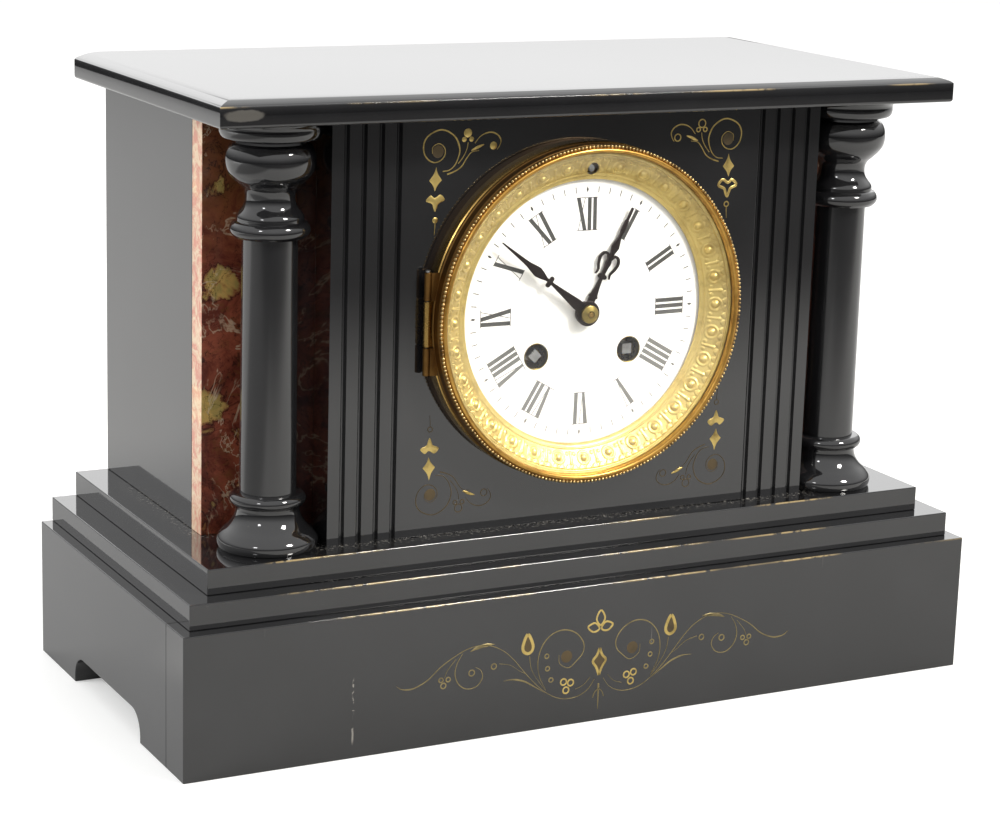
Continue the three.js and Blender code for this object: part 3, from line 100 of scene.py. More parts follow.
def smooth_path(points, steps=8, closed=False):
    """A curve through the points. Between two neighbours it is the cubic whose slope at each end is half the
    way from the point before to the point after."""
    p = np.asarray(points, float)
    p = np.vstack([p[-1:], p, p[:2]]) if closed else np.vstack([2 * p[0] - p[1], p, 2 * p[-1] - p[-2]])
    a, b, c, d = p[:-3, None], p[1:-2, None], p[2:-1, None], p[3:, None]
    s = np.linspace(0, 1, steps, endpoint=False)[:, None]
    curve = 0.5 * (2 * b + (c - a) * s + (2 * a - 5 * b + 4 * c - d) * s**2 + (3 * b - a - 3 * c + d) * s**3)
    curve = curve.reshape(-1, p.shape[1])
    return curve if closed else np.vstack([curve, p[-2:-1]])


def arc(centre, radius, start, end, steps):
    """Points on a circle about the centre, from one angle to another in degrees, counted from the first axis."""
    a = np.radians(np.linspace(start, end, steps))
    return np.stack([centre[0] + radius * np.cos(a), centre[1] + radius * np.sin(a)], 1)


def rod(radius, low, high, end=None):
    """A plain turned profile between two heights or distances, with its second radius where it tapers."""
    return [(0, low), (radius, low), (end or radius, high), (0, high)]


class Shape:
    """Sheets of faces in millimetres, gathered to become one closed mesh."""

    def __init__(self):
        self.points, self.faces, self.count = [], [], 0

    def add(self, points, faces):
        self.points.append(np.asarray(points, float).reshape(-1, 3))
        self.faces.extend((np.asarray(faces) + self.count).tolist())
        self.count += len(self.points[-1])

    def grid(self, points, close_rows=False, close_columns=False):
        """Joins the neighbours in a grid of points, rows by columns, with quads. A closed direction also joins
        its last line to its first."""
        rows, columns = points.shape[:2]
        i, j = np.meshgrid(
            np.arange(rows if close_rows else rows - 1),
            np.arange(columns if close_columns else columns - 1),
            indexing="ij",
        )
        i, j = i.ravel(), j.ravel()
        k, l = (i + 1) % rows, (j + 1) % columns
        self.add(points, np.stack([i * columns + j, k * columns + j, k * columns + l, i * columns + l], 1))
        return self

    def capped(self, points):
        """A grid whose rows are closed loops, with its first and last loops filled."""
        rows, columns = points.shape[:2]
        self.grid(points, close_columns=True)
        start = self.count - rows * columns
        self.faces.append(list(range(start, start + columns)))
        self.faces.append(list(range(self.count - columns, self.count)))
        return self

    def block(self, low, high):
        """A box between two corners."""
        (x0, y0, z0), (x1, y1, z1) = low, high
        loop = [(x0, y0), (x1, y0), (x1, y1), (x0, y1)]
        return self.capped(np.array([[(x, y, z) for x, y in loop] for z in (z0, z1)]))

    def prism(self, outline, z0, z1):
        """An outline in x and y drawn up from one height to another."""
        outline = np.asarray(outline, float)
        loops = [np.column_stack([outline, np.full(len(outline), z)]) for z in (z0, z1)]
        return self.capped(np.array(loops))

    def post(self, x, y, profile, sides=96, ring=False):
        """A profile of radius and height turned about an upright axis: x + r cos a, y + r sin a, z. A ring's
        profile closes on itself."""
        profile = np.asarray(profile, float)
        a = np.linspace(0, 2 * np.pi, sides, endpoint=False)
        r, z = profile[:, 0][:, None], profile[:, 1][:, None]
        return self.grid(np.stack([x + r * np.cos(a), y + r * np.sin(a), z + 0 * a], 2), ring, True)

    def turned(self, profile, x=0.0, z=0.0, sides=192, ring=True):
        """A profile of radius r and distance t turned about a level axis that is x and z from the dial's: the
        point at angle a is (x + r sin a, t, z + r cos a). A ring's profile closes on itself, and any other
        starts and ends on the axis."""
        profile = np.asarray(profile, float)
        a = np.linspace(0, 2 * np.pi, sides, endpoint=False)
        r, t = profile[:, 0][:, None], profile[:, 1][:, None]
        return self.grid(dial_point(x + r * np.sin(a), z + r * np.cos(a), t + 0 * a), ring, True)

    def ribbon(self, path, half, place, height=0.12, sink=0.04, shoulder=0.7):
        """A raised line along a flat path. Its section is a low flat-topped mound: it stands on the surface at
        plus and minus the half width and is level between the shoulder's share of that."""
        path = np.asarray(path, float)
        half = np.broadcast_to(np.interp(np.linspace(0, 1, len(path)), np.linspace(0, 1, np.size(half)),
                                         np.atleast_1d(half)), len(path))
        along = np.gradient(path, axis=0)
        along /= np.linalg.norm(along, axis=1)[:, None] + 1e-9
        across = np.stack([-along[:, 1], along[:, 0]], 1)
        side = np.array([-1.0, -shoulder, shoulder, 1.0])
        rise = np.array([-sink, height, height, -sink])
        u = path[:, None, 0] + across[:, None, 0] * half[:, None] * side
        v = path[:, None, 1] + across[:, None, 1] * half[:, None] * side
        return self.capped(place(u, v, rise + 0 * u))

    def blob(self, outline, place, height=0.12, sink=0.04, shoulder=0.8):
        """A raised spot inside a flat outline. Loops of the outline shrink towards its middle: full size below
        the surface, the shoulder's share at the height, and a point at the middle above and below."""
        outline = np.asarray(outline, float)
        middle = outline.mean(0)
        share = np.array([0, 1, shoulder, 0])[:, None, None]
        flat = middle + (outline - middle) * share
        rise = np.array([-sink, -sink, height, height])[:, None] + 0 * flat[:, :, 0]
        return self.grid(place(flat[..., 0], flat[..., 1], rise), close_columns=True)

    def ball(self, centres, radius, around=8, rings=5):
        """A ball on each centre: radius times (sin b cos a, cos b, sin b sin a), with b from pole to pole."""
        b = np.linspace(0, np.pi, rings + 1)[:, None]
        a = np.linspace(0, 2 * np.pi, around, endpoint=False)
        unit = np.stack([np.sin(b) * np.cos(a), np.cos(b) + 0 * a, np.sin(b) * np.sin(a)], 2)
        for centre in centres:
            self.grid(centre + radius * unit, close_columns=True)
        return self

    def mesh(self, name, angle=30.0):
        """The mesh in metres: doubles merged, faces outwards, smooth but for edges sharper than the angle."""
        made = bpy.data.meshes.new(name)
        made.from_pydata(np.vstack(self.points) * MM, [], self.faces)
        return settled(made, angle)


def settled(made, angle=30.0, dissolve=False):
    """Merges a mesh's doubles, turns its faces outwards and marks the edges that stay sharp. Where asked, flat
    neighbours become one face."""
    bm = bmesh.new()
    bm.from_mesh(made)
    bmesh.ops.remove_doubles(bm, verts=bm.verts, dist=WELD)
    bmesh.ops.dissolve_degenerate(bm, edges=bm.edges, dist=WELD)
    if dissolve:
        bmesh.ops.dissolve_limit(bm, angle_limit=math.radians(0.5), verts=bm.verts, edges=bm.edges)
    bmesh.ops.recalc_face_normals(bm, faces=bm.faces)
    bm.to_mesh(made)
    bm.free()
    made.shade_smooth()
    made.set_sharp_from_angle(angle=math.radians(angle))
    return made


def dial_point(x, z, t):
    """The place that is x and z from the dial axis and t in front of the panel's face."""
    return np.stack([x + 0 * t, PANEL_Y - t + 0 * x, DIAL_Z + z + 0 * t], -1)


def piece(name, made, node=None, finish=None, body=None, slot=None):
    """An object of the clock from a mesh. Where it stands for a solid, it has that solid's body. Its finish is
    its slot's own where no other is named."""
    body, slot = body or BODY_OF[node], slot or SLOT_OF[node]
    obj = bpy.data.objects.new(name, made)
    bpy.context.scene.collection.objects.link(obj)
    made.materials.clear()
    made.materials.append(look(finish or slot))
    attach(obj, body)
    if node:
        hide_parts(node)
    return obj


def eased(obj, width, segments=3, angle=30):
    """Bevels the edges of an object that are sharper than the angle."""
    bevel = obj.modifiers.new("Eased arrises", "BEVEL")
    bevel.width, bevel.segments = width, segments
    bevel.limit_method, bevel.angle_limit = "ANGLE", math.radians(angle)
    bevel.harden_normals = True


def dressed(node, width):
    """A stone slab with its arrises eased: a copy of the solid, merged and bevelled."""
    eased(piece(node + "_stone", settled(frame["nodes"][node].data.copy(), dissolve=True), node), width)


# ---- finishes


class Wire:
    """A number, colour or vector running through a finish's nodes. Sums on it add Math nodes."""

    def __init__(self, finish, socket):
        self.finish, self.socket = finish, socket

    def math(self, operation, *values):
        return self.finish.node("ShaderNodeMath", {"operation": operation}, dict(enumerate((self, *values))))

    __add__ = __radd__ = partialmethod(math, "ADD")
    __sub__ = partialmethod(math, "SUBTRACT")
    __rsub__ = partialmethod(math, "MULTIPLY_ADD", -1.0)
    __mul__ = __rmul__ = partialmethod(math, "MULTIPLY")
    __truediv__ = partialmethod(math, "DIVIDE")
    __pow__ = partialmethod(math, "POWER")
    abs = partialmethod(math, "ABSOLUTE")
    least = partialmethod(math, "MINIMUM")
    most = partialmethod(math, "MAXIMUM")

    def rise(self, start, end):
        """0 up to the start, 1 from the end on, and smooth between them. It falls where the end is lower."""
        low, high = min(start, end), max(start, end)
        ends = {"From Min": low, "From Max": high}
        ends |= {"To Min": 0.0, "To Max": 1.0} if start < end else {"To Min": 1.0, "To Max": 0.0}
        return self.finish.node("ShaderNodeMapRange", {"interpolation_type": "SMOOTHSTEP"},
                                {"Value": self} | ends)

    def within(self, start, full, last, end):
        """0 up to the start, 1 from full to last, and 0 from the end on."""
        return self.rise(start, full) * self.rise(end, last)


class Finish:
    """A material or a world on its way: its nodes, and the shader that shows them."""

    def __init__(self, name, kind="materials", place="Object"):
        self.made = getattr(bpy.data, kind).new(name)
        self.made.use_nodes = True
        self.tree = self.made.node_tree
        self.tree.nodes.clear()
        self.place = self.node("ShaderNodeTexCoord", output=place)

    def node(self, kind, settings=None, inputs=None, output=0):
        """Adds a node. Its settings come first, then the values or wires of its sockets."""
        made = self.tree.nodes.new(kind)
        for key, value in (settings or {}).items():
            setattr(made, key, value)
        for key, value in (inputs or {}).items():
            if isinstance(value, Wire):
                self.tree.links.new(value.socket, made.inputs[key])
            else:
                made.inputs[key].default_value = value
        return Wire(self, made.outputs[output]) if len(made.outputs) else None

    def axes(self):
        """x, y and z on the object, in millimetres."""
        scaled = self.node("ShaderNodeVectorMath", {"operation": "SCALE"}, {0: self.place, "Scale": 1 / MM})
        return [self.node("ShaderNodeSeparateXYZ", None, {0: scaled}, axis) for axis in "XYZ"]

    def noise(self, size, detail=2.0, roughness=0.5, distortion=0.0, stretch=(1, 1, 1)):
        """Clouds about as large as the size in millimetres."""
        at = self.node("ShaderNodeMapping", None, {"Vector": self.place, "Scale": stretch})
        return self.node("ShaderNodeTexNoise", None, {
            "Vector": at, "Scale": 1 / (size * MM), "Detail": detail, "Roughness": roughness,
            "Distortion": distortion,
        })

    def mix(self, share, first, second):
        """The first colour where the share is 0 and the second where it is 1."""
        colours = [c if isinstance(c, Wire) else (*c, 1.0)[:4] for c in (first, second)]
        return self.node("ShaderNodeMix", {"data_type": "RGBA"}, {0: share, 6: colours[0], 7: colours[1]}, 2)

    def bump(self, height, distance, normal=None):
        """The normal of a surface raised by the height times the distance in millimetres."""
        inputs = {"Height": height, "Distance": distance * MM, "Strength": 1.0}
        if normal:
            inputs["Normal"] = normal
        return self.node("ShaderNodeBump", None, inputs)

    def shader(self, **sockets):
        """A Principled shader on the output, with its sockets' names written with underscores."""
        inputs = {key.replace("_", " "): value for key, value in sockets.items()}
        surface = self.node("ShaderNodeBsdfPrincipled", None, inputs)
        self.node("ShaderNodeOutputMaterial", None, {"Surface": surface})
        return self.made


def shade(level):
    """A display grey, 0 to 255, as the shader's linear value."""
    c = level / 255
    return c / 12.92 if c <= 0.04045 else ((c + 0.055) / 1.055) ** 2.4


def tint(*levels):
    """A display colour, 0 to 255 each, as linear red, green and blue."""
    return tuple(shade(level) for level in levels)


def dimmed(colour, share):
    """A share of a colour's light."""
    return tuple(c * share for c in colour[:3])


# Where the stone's corners lie, and the front edges that carry a painted glint, in millimetres
PILASTER_X = round(span("right_pilaster")[1][0], 3)
WALL_X = round(span("right_side_slab")[1][0], 3)
PANEL_FACE, MARBLE_FACE = round(PANEL_Y, 3), round(span("right_marble_panel")[0][1], 3)
LIP_HEIGHT = 8.0
BASE_Y = span("base_front_slab")[0][1]
top_low = span("top_slab")[0]
GLINT_EDGES = [(round(span(node)[0][1], 3), round(span(node)[1][2], 3)) for node in (
    "upper_step", "lower_step", "base_front_slab")] + [(round(top_low[1], 3), round(top_low[2], 3) + LIP_HEIGHT)]
# Where dust lies, the middle of the rubbed place, and the scratch: each height in pairs over which it starts and ends
DUST_Z = (56.3, 56.7, 76.9, 77.2)
RUBBED_X, RUBBED_Z = -150.0, 245.4
SCRATCH_X, SCRATCH_Z = -106.0, (5.0, 8.0, 30.0, 33.0)


def slate_finish(settings, name="polished_slate", soft=0.0):
    """Polished black slate: a near-black body with slow cloudy greys, a waviness in the polish, a fine pitting,
    hair scratches, grey dust that gathers near the inner corners of the steps, pale warm glints painted
    along the arrises at the front where light catches them, a rubbed place on the top slab's lip and one
    long scratch down the base."""
    f = Finish(name)
    x, y, z = f.axes()
    clouds = f.noise(38.0, 3.0)
    grain = f.noise(0.9, 2.0)
    body = f.mix(clouds.rise(0.35, 0.7), dimmed(settings.slate, 0.7), settings.slate)
    foot = (x.abs() - PILASTER_X).most(PANEL_FACE - y).least((x.abs() - WALL_X).most(MARBLE_FACE - y))
    level = z.within(*DUST_Z) * y.rise(70.0, 40.0)
    corner = f.noise(1.6, 4.0, 0.7).rise(0.5, 0.68) * (foot.rise(9.0, 0.0) * level)
    dust = corner.most(f.noise(0.7, 3.0, 0.7).rise(0.68, 0.78) * level * 0.35)
    hair = f.noise(1.1, 1.0, 0.5, 0.0, (1.0, 1.0, 0.03)).rise(0.78, 0.82) * f.noise(30.0).rise(0.5, 0.7)
    colour = f.mix(dust * 0.8, body, settings.dust)
    colour = f.mix(hair * 0.25, colour, settings.dust)
    # Painted glint: a pale warm colour in patches along the front top arrises stands in for warm light reflected
    # there
    nearest = reduce(Wire.least, [(y - edge_y).abs() + (z - edge_z).abs() for edge_y, edge_z in GLINT_EDGES])
    arris_glint = nearest.rise(0.75, 0.3) * f.noise(60.0, 2.0).rise(0.5, 0.62) * f.noise(3.0, 3.0).rise(0.3, 0.5)
    colour = f.mix(arris_glint * 0.8, colour, settings.arris_glint)
    rubbed = ((x - RUBBED_X) / 9.0) ** 2.0 + ((z - RUBBED_Z) / 2.4) ** 2.0 + f.noise(4.0, 3.0) * 0.8
    colour = f.mix(rubbed.rise(1.4, 0.9) * y.rise(-75.6, -76.2) * 0.3, colour, settings.dust)
    nick = (x - SCRATCH_X + f.noise(9.0, 3.0) * 1.6).abs().rise(0.55, 0.2) * f.noise(5.0, 3.0, 0.8).rise(0.5, 0.56)
    nick = nick * z.within(*SCRATCH_Z) * y.rise(-82.4, -82.7)
    colour = f.mix(nick * 0.7, colour, settings.dust)
    rough = 0.05 + soft + clouds * 0.05 + dust * 0.45 + hair * 0.2
    normal = f.bump(f.noise(26.0, 2.0), 0.035, f.bump(grain, 0.0015))
    return f.shader(Base_Color=colour, Roughness=rough, Normal=normal, IOR=1.5, Coat_Weight=1.0,
                    Coat_Roughness=0.04 + soft, Coat_IOR=1.5)


# The places of the marble's patches, and the pair between which the painted pale sheen of its side face starts
PATCHES = [(-139.0, 175.0), (-146.0, 214.0), (-145.0, 128.0), (126.0, 180.0), (138.0, 120.0)]
SIDE_SHEEN_X = (145.8, 145.95)


def marble_finish(settings):
    """Red marble: a clouded red-brown ground, browner at its head, with smoky olive and dark parts, ochre and
    greenish patches about the places in the table, dark cracks along their edges and between them, pale
    threads, and a painted pale pink sheen on the side face that stands in for light reflected there."""
    f = Finish("red_marble")
    x, _, z = f.axes()
    clouds = f.noise(24.0, 7.0, 0.68, 1.0)
    patches = f.noise(30.0, 4.0, 0.6, 1.2, (1.0, 1.0, 0.8))
    specks = f.noise(6.0, 5.0, 0.7, 0.6)
    cracks = (f.noise(20.0, 6.0, 0.7, 0.8) - 0.5).abs()
    threads = (f.noise(34.0, 5.0, 0.65, 1.0) - 0.47).abs()
    spots = reduce(Wire.most, [(((x - at_x) / 14.0) ** 2.0 + ((z - at_z) / 9.0) ** 2.0).rise(1.0, 0.0)
                               for at_x, at_z in PATCHES])
    smoky = f.noise(9.0, 6.0, 0.72, 1.5)
    ground = f.mix(clouds.rise(0.36, 0.64), settings.marble_dark, settings.marble)
    ground = f.mix((z + clouds * 60.0).rise(205.0, 245.0) * 0.6, ground, settings.marble_olive)
    ground = f.mix(smoky.rise(0.5, 0.68) * 0.55, ground, settings.marble_olive)
    ground = f.mix(smoky.rise(0.46, 0.34) * 0.6, ground, settings.marble_dark)
    patch = f.mix(specks.rise(0.4, 0.6), settings.marble_patch, settings.marble_green)
    ragged = patches * 0.75 + specks * 0.24 + spots * 0.16
    colour = f.mix(ragged.rise(0.585, 0.65), ground, patch)
    colour = f.mix((ragged - 0.585).abs().rise(0.02, 0.0) * 0.7, colour, settings.marble_crack)
    colour = f.mix(cracks.rise(0.012, 0.0) * 0.8, colour, settings.marble_crack)
    colour = f.mix(threads.rise(0.016, 0.0) * clouds.rise(0.4, 0.56) * 0.6, colour, settings.marble_vein)
    # Painted highlight: a paler pink on the side face stands in for light reflected off its polished edge
    side_highlight = f.mix(f.noise(5.0, 5.0, 0.7, 0.8).rise(0.4, 0.62), settings.marble_side_sheen, settings.marble_vein)
    colour = f.mix(x.abs().rise(*SIDE_SHEEN_X) * 0.78, colour, side_highlight)
    return f.shader(Base_Color=colour, Roughness=0.12 + specks * 0.1, Normal=f.bump(specks, 0.02), IOR=1.5,
                    Coat_Weight=0.4, Coat_Roughness=0.08)


# Each metal's material, its colour or that setting's name, its tarnish's colour, its roughness, the size and the
# depth of its grain in millimetres, and the tarnish's share
METALS = {
    "bright_gilt": ("bright_gilding", (222, 198, 124), (156, 126, 64), 0.32, 0.7, 0.02, 0.5),
    "nut": ("nut_brass", (150, 132, 74), (90, 76, 44), 0.22, 0.5, 0.004, 0.5),
    "bead_gilt": ("bead_gilding", (214, 186, 128), (96, 72, 48), 0.2, 0.5, 0.01, 1.0),
    "line_gilt": ("line_gilding", "line_gilt", (120, 98, 60), 0.3, 0.5, 0.01, 0.8),
    "scroll_gilt": ("scroll_gilding", (166, 150, 106), (122, 112, 86), 0.35, 0.5, 0.01, 0.9),
    "dull_gilt": ("dull_gilding", (112, 98, 76), (84, 78, 68), 0.4, 0.5, 0.01, 0.8),
    "brass": ("clock_brass", (196, 160, 92), (120, 96, 60), 0.18, 0.6, 0.004, 0.5),
    "steel": ("bright_steel", (176, 176, 174), (96, 90, 84), 0.2, 0.5, 0.004, 0.5),
    "blued_steel": ("dark_hands", "hands", (52, 44, 42), 0.25, 0.5, 0.003, 0.5),
    "bell_metal": ("bell_metal", (188, 156, 104), (110, 90, 60), 0.2, 1.0, 0.006, 0.5),
}


def metal_finish(settings, name, colour, dull, rough, grain_size, grain_depth, tarnish):
    """Metal with cloudy tarnish, a fine grain and a little unevenness in its polish."""
    f = Finish(name)
    clouds = f.noise(7.0, 4.0, 0.65)
    fine = f.noise(grain_size, 3.0, 0.6)
    clean = getattr(settings, colour) if isinstance(colour, str) else tint(*colour)
    shown = f.mix(clouds.rise(0.4, 0.75) * tarnish, clean, tint(*dull))
    return f.shader(Base_Color=shown, Metallic=1.0, Roughness=rough + clouds * 0.12 + fine * 0.06,
                    Normal=f.bump(fine, grain_depth))


def rim_finish(settings):
    """Gilded metal that turns a darker, duller brown on the rim's outer wall: behind its face and near its radius."""
    f = Finish("old_gilding")
    x, y, z = f.axes()
    clouds = f.noise(7.0, 4.0, 0.65)
    fine = f.noise(0.8, 3.0, 0.6)
    square = x * x + (z - DIAL_Z) * (z - DIAL_Z)
    wall = (PANEL_Y - y).rise(RIM_FACE - 0.3, RIM_FACE - 1.4) * square.rise(4360.0, 4410.0)
    shown = f.mix(clouds.rise(0.4, 0.75) * 0.6, settings.gilt, settings.gilt_shade)
    shown = f.mix(wall * (0.7 + clouds * 0.3), shown, settings.rim_wall)
    return f.shader(Base_Color=shown, Metallic=1.0, Roughness=0.22 + clouds * 0.12 + fine * 0.06 + wall * 0.15,
                    Normal=f.bump(fine, 0.01))


def enamel_finish(settings):
    """Fired white enamel: a faint warm cloudiness under a clear gloss with a trace of orange peel."""
    f = Finish("white_enamel")
    clouds = f.noise(18.0, 3.0)
    colour = f.mix(clouds.rise(0.3, 0.7), settings.enamel, dimmed(settings.enamel, 0.97))
    return f.shader(Base_Color=colour, Roughness=0.12 + clouds * 0.06, Normal=f.bump(f.noise(4.0), 0.006),
                    IOR=1.5, Coat_Weight=0.5)


def ink_finish(settings):
    """The fired black of the numerals, worn a little thin, and fading to grey towards the foot of the dial."""
    f = Finish("numeral_ink")
    x, _, z = f.axes()
    wear = f.noise(0.6, 3.0, 0.6)
    faded = (wear.rise(0.5, 0.8) * 0.3 + (DIAL_Z + 0.1 * x - z).rise(-2.0, 24.0) * 0.7).least(1.0)
    return f.shader(Base_Color=f.mix(faded, settings.ink, settings.faded_ink), Roughness=0.35 + wear * 0.2)


def glass_finish(settings):
    """Clear bevelled glass with a few faint smears in its polish."""
    f = Finish("bezel_glass")
    smear = f.noise(14.0, 3.0, 0.6, 0.5, (1.0, 1.0, 0.3))
    return f.shader(Base_Color=(1, 1, 1, 1), Roughness=smear.rise(0.5, 0.8) * 0.04, IOR=1.5, Transmission_Weight=1.0)


FINISHES = {
    "slate": slate_finish,
    "shaft_slate": partial(slate_finish, name="rubbed_slate", soft=0.1),
    "marble": marble_finish,
    "enamel": enamel_finish,
    "ink": ink_finish,
    "glass": glass_finish,
    "gilt": rim_finish,
}
LOOKS = {}


def look(name):
    """The finish of that name, made once."""
    if name not in LOOKS:
        settings = bpy.context.scene.clock_settings
        LOOKS[name] = FINISHES[name](settings) if name in FINISHES else metal_finish(settings, *METALS[name])
    return LOOKS[name]


# ---- stone

# The stone's own measures, in millimetres: the top's hollow, rounding and mitres, the arch, the flutes, the
# shaft's two radii, and the marble's arrises
HOLLOW_RUN, UNDERSIDE, MITRE = 10.25, 1.25, 0.35
ARCH_FRONT, ARCH_BACK, ARCH_TOP, ARCH_RADIUS = -36.25, 40.25, 11.75, 9.0
FLUTES, FLUTE_WIDTH, FLUTE_DEPTH = 4, 2.25, 1.5
SHAFT_FOOT, SHAFT_NECK = 10.9, 10.5
MARBLE_ARRIS = 0.25


def profile_of(runs, radius, height, z0):
    """A turned profile from runs of shares. Each run is one smooth curve, and runs meet at crisp corners."""
    shares = np.vstack([smooth_path(run, 6) if len(run) > 2 else np.array(run, float) for run in runs])
    return shares * (radius, height) + (0, z0)


COLUMN_BASE_RUNS = [
    [(0, 0), (0.95, 0)],
    [(0.95, 0), (0.985, 0.05), (1, 0.12), (0.985, 0.2), (0.9, 0.3), (0.76, 0.42), (0.665, 0.55), (0.625, 0.68),
     (0.63, 0.76)],
    [(0.63, 0.76), (0.69, 0.775)],
    [(0.69, 0.775), (0.735, 0.82), (0.755, 0.88), (0.735, 0.94), (0.68, 0.985), (0.6, 1)],
    [(0.6, 1), (0, 1)],
]
CAPITAL_RUNS = [
    [(0, 0), (0.7, 0)],
    [(0.7, 0), (0.765, 0.03), (0.787, 0.0625), (0.765, 0.1), (0.72, 0.125)],
    [(0.72, 0.125), (0.66, 0.135)],
    [(0.66, 0.135), (0.645, 0.185), (0.52, 0.26), (0.487, 0.335), (0.53, 0.4), (0.66, 0.455), (0.76, 0.5),
     (0.845, 0.555), (0.88, 0.63), (0.865, 0.7), (0.8, 0.76), (0.7, 0.79)],
    [(0.7, 0.79), (0.69, 0.815)],
    [(0.69, 0.815), (0.9, 0.825)],
    [(0.9, 0.825), (0.965, 0.84), (1, 0.88), (1, 0.93)],
    [(1, 0.93), (1, 1), (0, 1)],
]


class CLOCK_OT_stone(bpy.types.Operator):
    """Eases the arrises of the plain slabs: base, steps, walls, dial panel and back"""

    bl_idname = "clock.stone"
    bl_label = "Stone slabs"

    def execute(self, context):
        width = context.scene.clock_settings.arris
        for node in ("base_front_slab", "base_back_slab", "lower_step", "upper_step", "left_side_slab",
                     "right_side_slab", "left_cheek", "right_cheek", "dial_panel", "back_slab"):
            dressed(node, width)
        for node in ("base_left_slab", "base_right_slab"):
            low, high = span(node)
            loop = np.array([(low[1], 0), *arch_outline(), (high[1], 0), (high[1], high[2]), (low[1], high[2])])
            sides = [np.column_stack([np.full(len(loop), x), loop]) for x in (low[0], high[0])]
            eased(piece(node + "_stone", Shape().capped(np.array(sides)).mesh(node), node), width)
        return {"FINISHED"}


def arch_outline():
    """The low arch under each side of the base: upright, quarter turn, flat, quarter turn, upright."""
    first = arc((ARCH_FRONT + ARCH_RADIUS, ARCH_TOP - ARCH_RADIUS), ARCH_RADIUS, 180, 90, 9)
    last = arc((ARCH_BACK - ARCH_RADIUS, ARCH_TOP - ARCH_RADIUS), ARCH_RADIUS, 90, 0, 9)
    return [(ARCH_FRONT, 0), *first, *last, (ARCH_BACK, 0)]


class CLOCK_OT_top(bpy.types.Operator):
    """Builds the moulded top slab: a square lip, a hollow bevel rising to a flat, and a rounded underside"""

    bl_idname = "clock.top"
    bl_label = "Top slab"

    def execute(self, context):
        low, high = span("top_slab")
        lip_z, rise = low[2] + LIP_HEIGHT, high[2] - low[2] - LIP_HEIGHT
        hollow = smooth_path([(0, 0), (0.25, 0.42), (0.6, 0.8), (1, 1)], 6)
        rounding = arc((UNDERSIDE, low[2] + UNDERSIDE), UNDERSIDE, 270, 180, 6)
        lip = [(0.0, lip_z - 0.6), (0.12, lip_z - 0.15), (0.5, lip_z + 0.05)]
        face = hollow[2:] * (HOLLOW_RUN, rise) + (0, lip_z)
        inset, z = np.vstack([[(12.0, low[2])], rounding, lip, face]).T
        x, front, back = high[0] - inset, low[1] + inset, np.full(len(z), high[1])
        corners = [(-x, back), (-x, front), (x, front), (x, back)]
        loops = np.stack([np.stack([*corner, z], 1) for corner in corners], 1)
        made = Shape().capped(loops).mesh("top_slab", 20)
        eased(piece("top_slab_stone", made, "top_slab"), MITRE * MM, 2, 40)
        return {"FINISHED"}


class CLOCK_OT_pilasters(bpy.types.Operator):
    """Builds the two pilasters with their four narrow round-bottomed flutes"""

    bl_idname = "clock.pilasters"
    bl_label = "Pilasters"

    def execute(self, context):
        for label, side in (("left", -1), ("right", 1)):
            node = f"{label}_pilaster"
            low, high = span(node)
            inner, outer = sorted((abs(low[0]), abs(high[0])))
            pitch = (outer - inner) / FLUTES
            s = np.linspace(0, 1, 11)
            sunk = low[1] + FLUTE_DEPTH * np.sin(np.pi * s) ** 0.75
            outline = [(side * outer, high[1]), (side * outer, low[1])]
            for i in range(FLUTES):
                start = outer - i * pitch - (pitch - FLUTE_WIDTH)
                outline.extend(np.stack([side * (start - FLUTE_WIDTH * s), sunk], 1))
            outline.append((side * inner, high[1]))
            piece(node + "_stone", Shape().prism(outline, low[2], high[2]).mesh(label, 35), node)
        return {"FINISHED"}


class CLOCK_OT_columns(bpy.types.Operator):
    """Turns the two columns: bulbous base, slim shaft and bell-shaped capital"""

    bl_idname = "clock.columns"
    bl_label = "Columns"

    def execute(self, context):
        for label in ("left", "right"):
            for part, runs in (("base", COLUMN_BASE_RUNS), ("capital", CAPITAL_RUNS), ("shaft", None)):
                node = f"{label}_column_{part}"
                low, high = span(node)
                middle, radius = (low + high) / 2, (high[1] - low[1]) / 2
                if runs:
                    profile, finish = profile_of(runs, radius, high[2] - low[2], low[2]), "slate"
                else:
                    profile, finish = rod(SHAFT_FOOT, low[2], high[2], SHAFT_NECK), "shaft_slate"
                shape = Shape().post(middle[0], middle[1], profile)
                piece(node + "_stone", shape.mesh(part, 40), node, finish)
        return {"FINISHED"}


class CLOCK_OT_marble(bpy.types.Operator):
    """Dresses the two red marble panels behind the columns"""

    bl_idname = "clock.marble"
    bl_label = "Marble panels"

    def execute(self, context):
        for label in ("left", "right"):
            dressed(f"{label}_marble_panel", MARBLE_ARRIS * MM)
        return {"FINISHED"}


# ---- bezel

HINGE_X, HINGE_Y = np.mean(span("bezel_hinge_pin"), axis=0)[:2]
# The bezel's radii from the dial axis, in millimetres, and where its parts end
SEAT_INNER, SEAT_OUTER, RIM_INNER, RIM_OUTER = 59.2, 67.3, 64.2, 67.0
BEAD_CIRCLE, GLASS_RADIUS, GLASS_FLAT = 66.35, 63.9, 57.7
SIGHT_OPENING, SIGHT_MIDDLE, SHEET = 52.3, 58.0, 0.8
REGULATOR_Z, REGULATOR_HOLE = 56.6, 2.4
# Its hinge: half the pin's length, where the seat's barrel ends and the rim's barrels start, and their radii
HINGE_HALF, SEAT_BARREL, RIM_BARREL = 20.0, 8.85, 9.15
BARREL, BARREL_BORE, PIN_RADIUS = 1.4, 0.9, 0.6


def knuckle(shape, x, y, z0, z1, radius, bore, ease=0.25):
    """A hinge barrel: a bored post with eased ends, between two heights from the dial axis."""
    z0, z1 = DIAL_Z + z0, DIAL_Z + z1
    shape.post(x, y, [(bore, z0), (radius - ease, z0), (radius, z0 + ease), (radius, z1 - ease), (radius - ease, z1),
                      (bore, z1)], 28, True)


